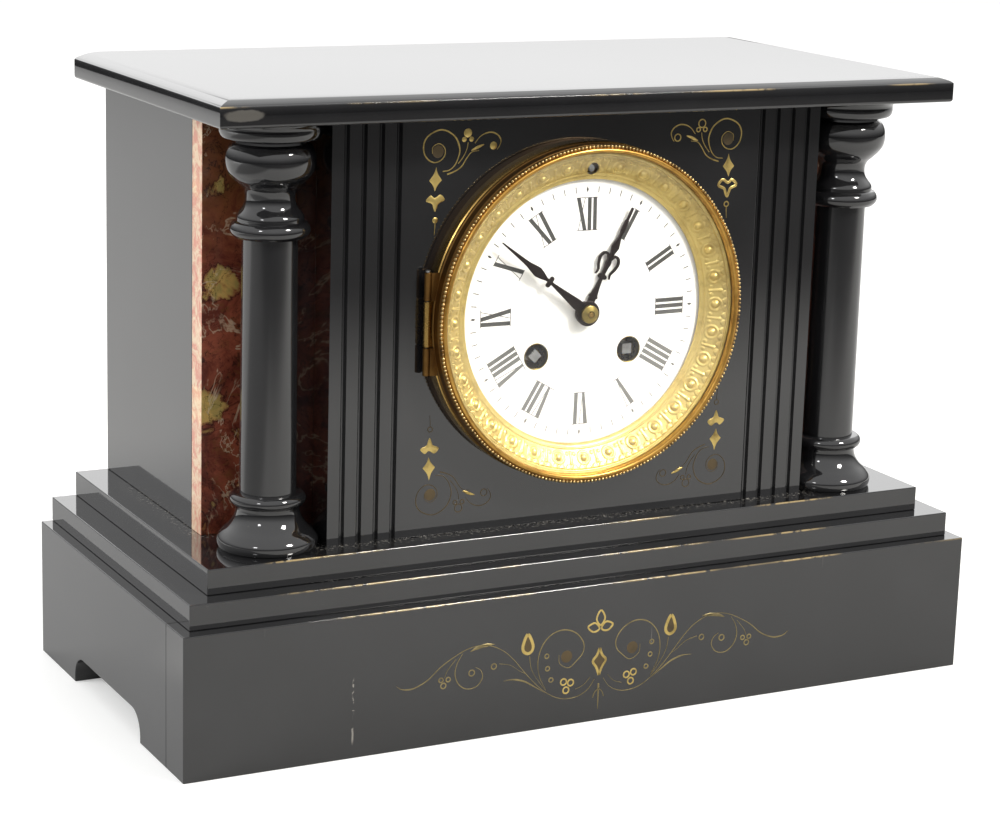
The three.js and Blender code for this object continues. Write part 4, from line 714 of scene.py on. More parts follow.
def drilled(obj, holes, angle):
    """Cuts the holes' solids out of an object and keeps the result as its mesh."""
    cutter = bpy.data.objects.new("holes", holes.mesh("holes"))
    bpy.context.scene.collection.objects.link(cutter)
    cut = obj.modifiers.new("Holes", "BOOLEAN")
    cut.object, cut.operation, cut.solver = cutter, "DIFFERENCE", "MANIFOLD"
    bpy.context.view_layer.update()
    made = bpy.data.meshes.new_from_object(obj.evaluated_get(bpy.context.evaluated_depsgraph_get()))
    obj.modifiers.clear()
    obj.data = settled(made, angle)
    bpy.data.objects.remove(cutter)


def mound(distance, radius, height):
    """A round-topped rise: the height times the root of 1 - (distance / radius) squared."""
    return height * np.sqrt(np.clip(1 - (distance / radius) ** 2, 0, 1))


def sight_surface(settings, sides=1440):
    """The sight ring's face: a slope from its flat outer edge down to its opening, with a stamped relief.
    Across the slope run two plain bands, a row of leaf tips, a band of round bosses in rings with a dart
    and a berry between each two, and a plain lip. The relief stands square to the slope."""
    back, edge = depth("sight_ring")
    shares = smooth_path([(0, 0), (0.14, 0.02), (0.55, 0.48), (0.88, 0.92), (1, 1)], 12)
    base = shares * (SIGHT_OPENING - GLASS_RADIUS, back + SHEET - edge) + (GLASS_RADIUS, edge)
    step = np.r_[0, np.cumsum(np.linalg.norm(np.diff(base, axis=0), axis=1))]
    q = np.linspace(0, step[-1], 56)
    r, t = np.interp(q, step, base[:, 0]), np.interp(q, step, base[:, 1])
    dr, dt = np.gradient(r), np.gradient(t)
    long = np.hypot(dr, dt)
    normal_r, normal_t = dt / long, -dr / long
    a = np.linspace(0, 2 * np.pi, sides, endpoint=False)
    pitch = 2 * np.pi / settings.boss_count
    q2, a2 = q[:, None], a[None, :]
    arc_length = ((a2 / pitch + 0.5) % 1 - 0.5) * pitch * SIGHT_MIDDLE
    half = pitch * SIGHT_MIDDLE / 2
    between = half - np.abs(arc_length)
    leaf = (np.abs(arc_length) % (half / 2)) / (half / 2) - 0.5

    relief = mound(q2 - 0.55, 0.5, 0.25) + mound(q2 - 1.6, 0.5, 0.25) + 0 * a2
    tip = 2.3 + 1.9 * (1 - (2 * leaf) ** 2)
    relief += np.where((q2 > 2.3) & (q2 < tip), 0.25 * (1 - 0.5 * (2 * leaf) ** 2), 0)
    boss = np.hypot(arc_length, q2 - 7.0)
    relief += mound(boss, 1.5, 0.75)
    relief += mound(boss - 2.5, 0.5, 0.22)
    relief += np.where((q2 > 5.2) & (q2 < 9.8), mound(between, 0.5, 0.22), 0)
    relief += mound(np.hypot(between, q2 - 4.7), 0.7, 0.3)
    relief += mound(np.hypot(between - 1.6, q2 - 8.6), 0.8, 0.2)
    relief = (relief + mound(q2 - 11.0, 0.45, 0.3)) * settings.relief
    points_r, points_t = r[:, None] + normal_r[:, None] * relief, t[:, None] + normal_t[:, None] * relief
    front = dial_point(points_r * np.sin(a2), points_r * np.cos(a2), points_t)
    behind = dial_point(r[::-1, None] * np.sin(a2), r[::-1, None] * np.cos(a2), t[::-1, None] - SHEET + 0 * a2)
    return np.concatenate([front, behind[[0, 28, -1]]])


class CLOCK_OT_bezel(bpy.types.Operator):
    """Builds the bezel: seat ring, hinged rim with its row of beads, bevelled glass and stamped sight ring"""

    bl_idname = "clock.bezel"
    bl_label = "Bezel and glass"

    def execute(self, context):
        settings = context.scene.clock_settings
        x, y = HINGE_X, HINGE_Y
        axis = PANEL_Y - y
        seat_face, rim_back = axis - 0.15, axis + 0.15
        glass_back, glass_face = depth("bezel_glass")
        middle = (glass_back + glass_face) / 2
        seat = Shape().turned([
            (SEAT_INNER, -9), (60.7, -9), (60.7, 0), (SEAT_OUTER, 0), (SEAT_OUTER, seat_face - 0.4),
            (66.9, seat_face), (SEAT_INNER, seat_face),
        ])
        knuckle(seat, x, y, -SEAT_BARREL, SEAT_BARREL, BARREL, BARREL_BORE)
        seat.block((x + 0.95, PANEL_Y - seat_face + 0.1, DIAL_Z - 8.8), (-65.5, PANEL_Y - 0.35, DIAL_Z + 8.8))
        piece("seat_ring", seat.mesh("seat"), "bezel_seat_ring")

        lip = middle + 0.25
        behind, before = ([(r, start + t) for r, t in steps] for start, steps in (
            (rim_back, [(RIM_INNER, 0), (66.9, 0), (RIM_OUTER, 0.3), (RIM_OUTER, 1.0), (66.7, 1.3)]),
            (RIM_FACE, [(66.7, -3.1), (66.4, -2.9), (66.4, -2.5), (66.8, -2.3), (66.9, -1.7), (66.6, -1.3),
                        (65.75, -1.2)])))
        rim = Shape().turned(np.vstack([
            behind, before, arc((64.7, RIM_FACE - 0.95), 0.95, 0, 180, 14), [(63.5, lip), (RIM_INNER, lip)],
        ]), sides=256)
        for z0, z1 in ((-HINGE_HALF, -RIM_BARREL), (RIM_BARREL, HINGE_HALF)):
            knuckle(rim, x, y, z0, z1, BARREL, BARREL_BORE)
            rim.block((x + 0.95, PANEL_Y - rim_back - 1.25, DIAL_Z + z0 + 0.1),
                      (-64.6, PANEL_Y - rim_back - 0.1, DIAL_Z + z1 - 0.1))
        piece("bezel_rim_ring", rim.mesh("rim"), "bezel_rim")

        a = np.linspace(0, 2 * np.pi, settings.bead_count, endpoint=False)
        centres = dial_point(BEAD_CIRCLE * np.sin(a), BEAD_CIRCLE * np.cos(a), RIM_FACE - 1.0)
        beads = Shape().ball(centres, math.pi * BEAD_CIRCLE / settings.bead_count * 0.86)
        piece("bezel_beads", beads.mesh("beads", 180), finish="bead_gilt", body="bezel", slot="gilt")

        glass = Shape().turned([
            (0, glass_back), (GLASS_RADIUS, glass_back), (GLASS_RADIUS, middle - 0.1), (63.75, middle + 0.02),
            (58.0, glass_face - 0.03), (GLASS_FLAT, glass_face), (0, glass_face),
        ], ring=False)
        piece("bevelled_glass", glass.mesh("glass", 8), "bezel_glass").visible_shadow = False

        face = Shape().grid(sight_surface(settings), True, True)
        ring = piece("stamped_sight_ring", face.mesh("sight", 180), "sight_ring", "bright_gilt")
        drilled(ring, Shape().turned(rod(REGULATOR_HOLE, 0, 12), 0, REGULATOR_Z, 40, False), 60)

        low, high = DIAL_Z - HINGE_HALF, DIAL_Z + HINGE_HALF + 0.2
        pin = Shape().post(x, y, [(0, low), (PIN_RADIUS, low), (PIN_RADIUS, high), (1.0, high + 0.1),
                                  (1.05, high + 0.6), (0.7, high + 0.85), (0, high + 0.85)], 28)
        piece("hinge_pin", pin.mesh("pin"), "bezel_hinge_pin")
        return {"FINISHED"}


# ---- dial and hands

# The dial's holes, in millimetres: the arbor's, and the winding holes with their places from the dial axis. Then
# the hands' clock angles in degrees
ARBOR_HOLE, WINDER_HOLE, WINDER_X, WINDER_Z = 3.4, 5.2, 20.5, -16.25
MINUTE_ANGLE, HOUR_ANGLE = -52, 25.7


def dome(r):
    """How far the enamel stands in front of the panel at a radius: it falls with the square of the radius."""
    return ENAMEL_BACK + 1.3 + 1.2 * (1 - (r / ENAMEL_RADIUS) ** 2)


def turn(u, v, angle):
    """x and z of the place that is u across and v outwards at a clock angle in degrees."""
    a = math.radians(angle)
    return u * math.cos(a) + v * math.sin(a), v * math.cos(a) - u * math.sin(a)


def on_dial(angle):
    """Places u across and v outwards at a clock angle in degrees onto the domed dial, at a height above it."""

    def place(u, v, h):
        x, z = turn(u, v, angle)
        return dial_point(x, z, dome(np.hypot(x, z)) + h)

    return place


NUMERALS = ["XII", "I", "II", "III", "IIII", "V", "VI", "VII", "VIII", "IX", "X", "XI"]
LETTER_WIDTH = {"I": 2.4, "V": 4.3, "X": 4.5}
# The numerals' reach from the dial axis, and half the width of their bold and hair strokes, in millimetres
NUMERAL_FOOT, NUMERAL_HEAD, BOLD, HAIR = 32.2, 44.9, 0.9, 0.15


def numeral(shape, letters, angle):
    """One upright numeral with its feet to the centre: bold and hair strokes between two hair serifs."""
    place, inner, outer = on_dial(angle), NUMERAL_FOOT, NUMERAL_HEAD
    total = sum(LETTER_WIDTH[letter] for letter in letters)
    u = -total / 2

    def stroke(u0, v0, u1, v1, half):
        path = np.linspace((u0, v0), (u1, v1), 6)
        shape.ribbon(path, half, place, 0.02, 0.06, 0.9)

    for letter in letters:
        width = LETTER_WIDTH[letter]
        middle, reach = u + width / 2, width / 2 - 0.8
        if letter == "I":
            stroke(middle, inner, middle, outer, BOLD)
        elif letter == "V":
            stroke(middle - reach, outer, middle + 0.2, inner, [BOLD * 1.1, BOLD * 0.7])
            stroke(middle + reach, outer, middle + 0.4, inner, HAIR)
        else:
            stroke(middle - reach, outer, middle + reach, inner, BOLD)
            stroke(middle + reach, outer, middle - reach, inner, HAIR)
        u += width
    half = total / 2 + 0.15
    for end in (outer, inner):
        stroke(-half, end, half, end, HAIR)


class CLOCK_OT_dial(bpy.types.Operator):
    """Builds the enamel dial with its winding holes, roman numerals and minute marks"""

    bl_idname = "clock.dial"
    bl_label = "Enamel dial"

    def execute(self, context):
        r = np.linspace(ARBOR_HOLE, 54.1, 28)
        front = np.stack([r, dome(r)], 1)
        edge = [(54.4, dome(54.1) - 0.15), (54.5, dome(54.1) - 0.5), (54.5, ENAMEL_BACK), (ARBOR_HOLE, ENAMEL_BACK)]
        obj = piece("white_dial", Shape().turned(np.vstack([front, edge])).mesh("enamel", 50), "enamel_dial")
        low, high = ENAMEL_BACK - 1, ENAMEL_TOP + 1
        holes, rings, foot = Shape(), Shape(), ENAMEL_BACK + 0.2
        level = dome(math.hypot(WINDER_X, WINDER_Z))
        for x in (-WINDER_X, WINDER_X):
            holes.turned(rod(WINDER_HOLE, low, high), x, WINDER_Z, 64, False)
            rings.turned([(5.0, foot), (5.3, foot), (5.3, level + 0.06), (5.15, level + 0.12), (5.0, level + 0.02)],
                         x, WINDER_Z, 64)
        drilled(obj, holes, 40)
        rings.turned([(3.1, foot), (3.9, foot), (3.9, ENAMEL_TOP + 0.1), (3.5, ENAMEL_TOP + 0.2),
                      (3.1, ENAMEL_TOP + 0.05)], sides=64)
        piece("hole_rings", rings.mesh("rings"), finish="nut", body="case", slot="brass")

        ink = Shape()
        for hour, letters in enumerate(NUMERALS):
            numeral(ink, letters, 30 * hour)
        for minute in range(60):
            place = on_dial(6 * minute)
            if minute % 5:
                ink.ribbon([(0, 46.9), (0, 48.1), (0, 49.3)], 0.2, place, 0.02, 0.06, 0.9)
            else:
                ink.blob([(0, 46.8), (0.55, 48.1), (0, 49.4), (-0.55, 48.1)], place, 0.02, 0.06, 0.95)
        piece("numerals", ink.mesh("ink"), finish="ink", body="case", slot="enamel")
        return {"FINISHED"}


def hand(node, inner, outer, profile, angle):
    """A hand in a solid's depth: a boss between two radii, and a flat blade along a clock angle, made of rows of
    half widths from the boss to the tip, with its front edges eased."""
    (back, front), ease = depth(node), 0.12
    shape = Shape().turned([(inner, back), (outer, back), (outer, front - ease), (outer - 0.15, front),
                            (inner, front)], sides=64)
    v, w = np.array(profile, float).T[:, :, None]
    side = np.array([-1, -1, -1, 1, 1, 1])
    trim = np.array([0, 0, ease, ease, 0, 0])
    u = side * np.clip(w - trim, 0.02, None)
    t = np.array([back, front - ease, front, front, front - ease, back]) + 0 * u
    return shape.capped(dial_point(*turn(u, v, angle), t))


# The hands' blades: distance from the dial axis, and half the width
MINUTE_BLADE = [
    (4.2, 2.1), (6.5, 2.15), (8.0, 2.0), (12.0, 1.55), (17.0, 1.0), (20.6, 0.62), (21.1, 0.6), (21.15, 1.8),
    (21.5, 2.3), (22.0, 2.4), (22.5, 2.3), (22.85, 1.8), (22.9, 0.65), (24.0, 0.7), (26.5, 1.5), (28.8, 2.05),
    (31.0, 1.7), (34.0, 1.1), (36.4, 0.9), (42.0, 0.6), (48.6, 0.25),
]
HOUR_BLADE = [
    (3.8, 1.6), (6.4, 1.55), (6.5, 2.0), (7.0, 2.05), (7.5, 1.7), (8.0, 1.5), (11.0, 0.95), (14.4, 0.65), (14.6, 1.4),
    (15.0, 1.9), (15.5, 2.05), (16.0, 1.9), (16.4, 1.4), (16.5, 0.7), (19.0, 0.85), (21.0, 1.3), (22.6, 1.0),
    (24.0, 0.7), (25.5, 1.0), (27.8, 1.75), (29.5, 1.4), (32.0, 0.75), (34.2, 0.7), (34.4, 1.0), (37.3, 0.9),
    (39.3, 0.75), (39.5, 0.5), (42.0, 0.55), (44.7, 0.4),
]


class CLOCK_OT_hands(bpy.types.Operator):
    """Builds the two hands and the nut that holds them"""

    bl_idname = "clock.hands"
    bl_label = "Hands"

    def execute(self, context):
        minute = hand("minute_hand", 1.4, 5.0, MINUTE_BLADE, MINUTE_ANGLE)
        piece("minute_hand_blade", minute.mesh("minute"), "minute_hand")

        hour = hand("hour_hand", 2.9, 4.6, HOUR_BLADE, HOUR_ANGLE)
        level = depth("hour_hand")[1] - 0.4

        def on_blade(u, v, h):
            return dial_point(*turn(u, v, HOUR_ANGLE), level + h)

        curl = smooth_path([(0.5, 22.6), (1.7, 24.4), (3.4, 24.3), (4.4, 22.4), (4.0, 19.8), (3.0, 17.4),
                            (3.4, 15.4)])
        for side in (-1, 1):
            hour.ribbon(curl * (side, 1), [0.5, 0.6, 0.6, 0.5, 0.2], on_blade, 0.4, 0.4, 0.8)
        piece("hour_hand_blade", hour.mesh("hour"), "hour_hand")

        back, front = depth("hand_nut")
        nut = Shape().turned(np.vstack([
            [(1.4, back), (3.6, back), (3.6, back + 0.9)],
            smooth_path([(3.6, back + 0.9), (3.45, front - 0.75), (2.6, front - 0.4), (1.4, front)], 5),
        ]), sides=64)
        piece("hand_nut_dome", nut.mesh("nut"), "hand_nut", "nut")
        return {"FINISHED"}


# ---- gilding

# Lines with their half widths, rings and spots with their radii, and outlines, in millimetres: on the corners in
# from CORNER_X and up or down from CORNER_Z, and on the base from the clock's middle and the ground
CORNER_LINES = [
    ([(2.8, 59.2), (5.8, 59.7), (8.1, 61.8), (9.6, 65.4), (9.7, 68.1), (8.2, 71.6), (5.1, 74.1), (1.7, 75.0),
      (-1.9, 73.9), (-4.3, 72.0), (-5.4, 69.3), (-4.9, 66.0), (-3.1, 63.7), (-0.7, 62.7), (2.0, 63.5), (3.6, 65.6),
      (3.4, 68.1), (1.1, 69.8), (-1.5, 68.6), (-1.7, 66.1)], [0.15, 0.3, 0.28, 0.22, 0.12]),
    ([(4.7, 58.0), (7.5, 58.9), (10.6, 60.7), (12.9, 64.0), (14.9, 66.1), (17.9, 66.6)], [0.3, 0.22, 0.12]),
    ([(9.3, 61.9), (11.5, 64.7), (12.8, 67.4), (13.2, 69.8)], [0.2, 0.12]),
    ([(16.1, 69.4), (18.1, 71.7), (20.5, 73.0), (23.2, 73.3), (25.7, 72.3), (27.1, 70.4), (26.8, 68.4),
      (25.7, 66.7)], [0.12, 0.26, 0.26, 0.12]),
    ([(0.1, 39.5), (0.0, 37.5), (-0.2, 35.0)], [0.16, 0.05]),
]
BASE_LINES = [
    ([(-88.8, 26.4), (-86.9, 25.0), (-84.2, 24.4), (-80.9, 24.7), (-75.6, 27.1), (-70.3, 31.5), (-65.0, 34.7),
      (-59.6, 37.2), (-54.2, 38.2), (-48.7, 37.5), (-43.1, 34.7), (-38.6, 30.7), (-34.8, 26.2), (-29.6, 20.3),
      (-24.4, 15.5), (-19.3, 12.4), (-14.2, 11.1), (-9.1, 11.6), (-4.8, 13.9), (-2.0, 17.7)],
     [0.08, 0.42, 0.3, 0.2, 0.2, 0.2, 0.2, 0.2, 0.2, 0.12]),
    ([(-57.5, 36.3), (-54.5, 37.4), (-50.5, 38.0), (-47.0, 38.0)], [0.2, 0.9, 0.9, 0.1]),
    ([(-60.8, 35.9), (-63.1, 32.2), (-63.9, 27.8), (-62.2, 23.6), (-58.5, 21.2), (-54.3, 21.9), (-52.0, 25.0),
      (-52.7, 28.0), (-55.1, 29.7)], [0.12, 0.3, 0.25, 0.12]),
    ([(-63.7, 34.0), (-67.2, 29.9), (-68.5, 27.0)], [0.15, 0.1]),
    ([(-44.8, 29.7), (-39.8, 28.4), (-36.0, 25.7), (-33.0, 24.0)], [0.15, 0.1]),
    ([(-42.7, 22.3), (-38.3, 22.3), (-33.3, 20.8), (-28.9, 18.1), (-24.4, 15.2)], [0.06, 0.5, 0.4, 0.1]),
    ([(-31.5, 30.9), (-30.7, 26.2), (-28.4, 21.8), (-24.0, 16.0)], [0.18, 0.1]),
    ([(-23.8, 16.0), (-26.9, 22.2), (-27.7, 28.7), (-25.8, 34.8), (-21.5, 38.9), (-16.0, 39.9), (-10.8, 37.8),
      (-7.5, 33.6), (-7.6, 29.5), (-10.4, 26.4), (-14.0, 24.0), (-17.9, 26.2), (-18.4, 29.8)],
     [0.12, 0.3, 0.35, 0.28, 0.12]),
    ([(-10.5, 14.6), (-6.8, 16.0), (-4.0, 18.8)], [0.16, 0.1]),
]
CORNER_BERRIES = [((13.1, 73.4), 1.8), ((11.6, 71.0), 1.05), ((14.7, 71.0), 1.05), ((24.1, 68.2), 1.6),
                  ((0.1, 40.7), 1.2)]
CORNER_DIAMOND = [[(0.1, 61.2), (-0.9, 58.4), (-2.9, 55.9)], [(-2.9, 55.9), (-1.2, 53.9), (-0.3, 51.5)],
                  [(-0.3, 51.5), (0.9, 53.9), (2.7, 55.9)], [(2.7, 55.9), (1.0, 58.4), (0.1, 61.2)]]
CORNER_TREFOIL = [(-4.2, 48.3), (-2.1, 50.4), (-0.2, 49.3), (2.3, 50.6), (4.2, 48.4), (1.5, 47.0), (0.8, 45.4),
                  (0.0, 43.8), (-0.8, 45.4), (-1.5, 47.0)]
BASE_RINGS = [((-56.7, 27.5), 1.2), ((-68.8, 23.9), 1.1), ((-69.9, 26.3), 0.9), ((-66.8, 26.2), 0.9),
              ((-47.1, 28.9), 1.1), ((-23.8, 30.0), 0.9), ((-23.3, 24.8), 0.9), ((-21.6, 19.9), 0.9)]
BASE_DROP = [(-32.5, 40.0), (-30.3, 36.0), (-30.4, 33.4), (-32.2, 32.2), (-34.2, 33.4), (-34.4, 36.0)]
BASE_LOBE = [(-0.5, 38.9), (-2.6, 41.0), (-5.6, 39.7), (-3.6, 37.5), (-1.4, 37.6)]
BASE_LOZENGE = [(0.0, 30.3), (-1.2, 27.4), (-2.9, 25.2), (-1.2, 22.4), (0.0, 19.2)]
# How far the corners' ornament starts from the clock's middle, and the height that it is mirrored about
CORNER_X, CORNER_Z = 64.8, 160
# The share of the height that worn gilding keeps
THIN = 0.6


def ring_line(centre, radius):
    """A closed circle as a line, its end laid on its start."""
    return arc(centre, radius, 0, 360, 24)


def joined(loop):
    """A closed loop as a line, its end laid on its start."""
    return np.vstack([loop, loop[:1]])


class CLOCK_OT_gilding(bpy.types.Operator):
    """Lays the gilded line ornament on the four corners of the dial panel and across the base"""

    bl_idname = "clock.gilding"
    bl_label = "Gilded ornament"

    def execute(self, context):
        height = context.scene.clock_settings.gilding
        panel, base, scrolls, dull = Shape(), Shape(), Shape(), Shape()
        diamond = np.vstack([smooth_path(run, 5)[:-1] for run in CORNER_DIAMOND])
        trefoil = smooth_path(CORNER_TREFOIL, 4, True)
        bud = smooth_path([(14.5, 66.7), (16.8, 66.9), (20.3, 68.8), (17.6, 68.6)], 4, True)
        drop, lobe = smooth_path(BASE_DROP, 5, True), smooth_path(BASE_LOBE, 5, True)
        lozenge = smooth_path(BASE_LOZENGE, 5)
        crown = smooth_path([(0.0, 46.0), (-1.9, 42.7), (0.0, 39.8), (1.9, 42.7)], 6, True)
        for side in (-1, 1):
            for flip in (1, -1):
                def on_panel(u, v, h, side=side, flip=flip):
                    return np.stack([side * (CORNER_X - u), PANEL_Y - h, CORNER_Z + flip * v], -1)

                lines, weight = (panel, 1.15) if flip > 0 else (dull, 0.8)
                for points, half in CORNER_LINES:
                    lines.ribbon(smooth_path(points, 6), np.array(half) * weight, on_panel, height)
                dull.blob(arc((0.7, 66.8), 2.6, 0, 345, 20), on_panel, height * THIN)
                for centre, radius in CORNER_BERRIES:
                    if side < 0 and flip > 0:
                        panel.blob(arc(centre, radius, 0, 345, 18), on_panel, height)
                    else:
                        lines.ribbon(ring_line(centre, radius - 0.2), 0.25 * weight, on_panel, height)
                panel.blob(bud, on_panel, height)
                panel.blob(diamond, on_panel, height)
                if side > 0 and flip > 0:
                    panel.ribbon(joined(trefoil), 0.6, on_panel, height)
                else:
                    panel.blob(trefoil, on_panel, height)

            def on_base(u, v, h, side=side):
                return np.stack([-side * u, BASE_Y - h, v + 0 * u], -1)

            for points, half in BASE_LINES:
                scrolls.ribbon(smooth_path(points, 6), np.array(half) * 0.8, on_base, height)
            for centre, radius in BASE_RINGS:
                scrolls.ribbon(ring_line(centre, radius), 0.3, on_base, height)
            for centre in ((-15.9, 18.3), (-12.7, 17.6), (-14.7, 14.7)):
                base.ribbon(ring_line(centre, 1.3), 0.36, on_base, height)
            dull.blob(arc((-14.9, 28.7), 2.7, 0, 345, 24), on_base, height * THIN)
            dull.blob(drop, on_base, height * THIN)
            for line, half in ((joined(drop), 0.75), (joined(lobe), 0.42), (lozenge, 0.62)):
                base.ribbon(line, half, on_base, height)
            scrolls.ribbon(smooth_path([(0.0, 13.5), (-1.6, 12.2), (-2.5, 10.0)], 5), 0.2, on_base, height)

        def on_middle(u, v, h):
            return np.stack([u, BASE_Y - h, v + 0 * u], -1)

        dull.blob(np.vstack([lozenge, lozenge[-2:0:-1] * (-1, 1)]), on_middle, height * THIN)
        base.ribbon(joined(crown), 0.42, on_middle, height)
        scrolls.ribbon([(0, 15.6), (0, 12.0), (0, 8.0), (0, 5.0)], [0.5, 0.35, 0.25, 0.08], on_middle, height)
        for name, shape, finish in (("base_scrolls", scrolls, "scroll_gilt"), ("panel_gilding", panel, "line_gilt"),
                                    ("base_gilding", base, "line_gilt"), ("worn_gilding", dull, "dull_gilt")):
            piece(name, shape.mesh(name, 50), finish=finish, body="case", slot="gilt")
        return {"FINISHED"}


# ---- movement and back

# The bell's radius, depth, wall and bore, in millimetres, and its place left of the dial axis
BELL_RADIUS, BELL_DEPTH, BELL_WALL, BELL_BORE, BELL_X = 27.0, 20.0, 1.2, 1.62, -16.0
# The pendulum's bob: its radius, half its thickness, the radius that both its faces are turned to, and its
# middle's height over the pendulum's foot. Then how far the pivot lies under the pendulum's top
BOB_RADIUS, BOB_HALF, BOB_CURVE, BOB_RISE, PIVOT_DROP = 14, 4, 16.5, 17, 1.4


class CLOCK_OT_movement(bpy.types.Operator):
    """Finishes the wheels, plates and arbors of the movement, and turns the bell and the pendulum bob"""

    bl_idname = "clock.movement"
    bl_label = "Movement"

    def execute(self, context):
        for name, node in frame["nodes"].items():
            if not node.hide_render:
                node.data.materials.clear()
                node.data.materials.append(look(SLOT_OF[name]))
        outer = smooth_path([(1, 0), (0.985, 0.25), (0.93, 0.5), (0.8, 0.72), (0.55, 0.9), (0.25, 0.985),
                             (0.06, 1)], 6) * (BELL_RADIUS, BELL_DEPTH)
        inner = np.clip(outer[::-1] - BELL_WALL, (BELL_BORE, 0), None)
        low, high = span("bell")
        ring = np.vstack([outer, inner])
        ring[:, 1] = PANEL_Y - (low[1] + ring[:, 1])
        shape = Shape().turned(ring, BELL_X, (low[2] + high[2]) / 2 - DIAL_Z, 96)
        piece("turned_bell", shape.mesh("bell", 60), "bell")

        low, high = span("pendulum")
        y, foot, bob_z, pivot_z = low[1] + BOB_HALF, low[2], low[2] + BOB_RISE, high[2] - PIVOT_DROP
        swing = Shape().post(0, y, rod(0.9, bob_z, pivot_z + PIVOT_DROP), 24)
        swing.post(0, y, [(0, foot), (1.5, foot), (1.8, foot + 0.3), (1.8, foot + 4), (0, foot + 4)], 24)
        lens = np.vstack([[(0, -BOB_HALF)], arc((0, 12.5), BOB_CURVE, -88, -40, 12),
                          [(BOB_RADIUS, -1.3), (BOB_RADIUS, 1.3)], arc((0, -12.5), BOB_CURVE, 40, 88, 12),
                          [(0, BOB_HALF)]])
        lens[:, 0] = np.minimum(lens[:, 0], BOB_RADIUS)
        axis, pin_end = PANEL_Y - y, PANEL_Y - high[1]
        swing.turned(lens + (0, axis), 0, bob_z - DIAL_Z, 96, False)
        swing.turned(rod(1.1, pin_end, axis), 0, pivot_z - DIAL_Z, 24, False)
        piece("turned_pendulum", swing.mesh("pendulum"), "pendulum")
        return {"FINISHED"}


# The back door's hinge axis, half its length and its barrels' radius, and the back's face, in millimetres
DOOR_X, DOOR_Y, DOOR_HALF, DOOR_BARREL = 62.0, 77.4, 8, 1.6
BACK_Y = round(span("back_slab")[1][1], 3)


class CLOCK_OT_back(bpy.types.Operator):
    """Turns the brass ring and the round hinged door in the back"""

    bl_idname = "clock.back"
    bl_label = "Back door"

    def execute(self, context):
        x, y = DOOR_X, DOOR_Y
        face = PANEL_Y - BACK_Y
        rim = face - 2.5
        ring = Shape().turned([
            (52.5, face + 7.75), (55.5, face + 7.75), (55.5, face), (60.0, face), (60.0, rim + 0.4), (59.6, rim),
            (52.5, rim),
        ])
        knuckle(ring, x, y, -3.85, 3.85, DOOR_BARREL, 0.7)
        ring.post(x, y, rod(0.7, DIAL_Z - DOOR_HALF, DIAL_Z + DOOR_HALF), 24)
        ring.block((57.2, 75.1, DIAL_Z - 3.8), (x - 1.0, 77.1, DIAL_Z + 3.8))
        piece("back_ring_turned", ring.mesh("back_ring"), "back_ring")

        inner, outer = rim - 0.3, rim - 1.8
        door = Shape().turned([
            (0, inner), (58, inner), (58, outer + 0.25), (57.7, outer), (54, outer), (53.6, outer + 0.15),
            (53.2, outer), (0, outer),
        ], ring=False)
        for z0, z1 in ((-DOOR_HALF, -4.15), (4.15, DOOR_HALF)):
            knuckle(door, x, y, z0, z1, DOOR_BARREL, 1.0)
            door.block((55.2, PANEL_Y - inner, DIAL_Z + z0 + 0.1), (x - 1.1, y + 1.5, DIAL_Z + z1 - 0.1))
        knob = [(1.7, 0.1), (1.6, -0.8), (2.6, -1.4), (3.0, -2.1), (2.7, -2.8), (1.6, -3.0), (0, -3.0)]
        door.turned([(0, inner - 0.7), *((r, outer + t) for r, t in knob)], -50, 0, 48, False)
        piece("back_door_turned", door.mesh("back_door"), "back_door")
        return {"FINISHED"}


# ---- stage

# The camera: its turn from the front, its rise and its roll in degrees, and its place, lens and film in millimetres
CAMERA_TURN, CAMERA_RISE, CAMERA_ROLL = -27.748, 13.616, 1.706
CAMERA_PLACE, LENS, FILM = (-506.44, -954.70, 369.34), 96.40, 36.0
FLOOR_REACH = 3.0
WHITE = (1, 1, 1)
# Each lamp's name, which is its power's setting, its place and target in metres, its sides and its colour
LAMPS = [
    ("key", (0.9, -1.3, 1.5), (0, 0, 0.12), (0.35, 0.35), (1.0, 0.97, 0.92)),
    ("sky", (0.9, 2.0, 0.75), (0.0, 0.0, 0.25), (2.4, 1.0), WHITE),
    ("side", (-2.2, 0.6, 0.8), (-0.15, 0, 0.15), (1.6, 1.4), WHITE),
    ("glint", (-1.1, -0.8, 1.0), (0, 0, 0.12), (0.2, 0.2), WHITE),
]


def floor_finish(settings):
    """The pale floor: as the camera sees it, and as the gloss does, dim in front and less so on the left."""
    f = Finish("pale_floor")
    cloud = f.noise(60.0, 3.0)
    x, y, _ = f.axes()
    front = y.rise(-900.0, -480.0)
    left = x.rise(-330.0, -470.0) * y.rise(300.0, 160.0)
    seen = f.node("ShaderNodeLightPath", output="Is Camera Ray")
    plain = f.node("ShaderNodeBsdfPrincipled", None, {
        "Base Color": f.mix(cloud * 0.5, settings.floor, dimmed(settings.floor, 0.98)), "Roughness": 0.8,
        "Emission Color": (1, 1, 1, 1), "Emission Strength": 0.25})
    dim = f.node("ShaderNodeBsdfPrincipled", None, {
        "Base Color": f.mix(front * (1 - left * 0.6), (0.04, 0.04, 0.04), dimmed(settings.floor, 0.58)),
        "Roughness": 0.8})
    shown = f.node("ShaderNodeMixShader", None, {0: seen, 1: dim, 2: plain})
    f.node("ShaderNodeOutputMaterial", None, {"Surface": shown})
    return f.made


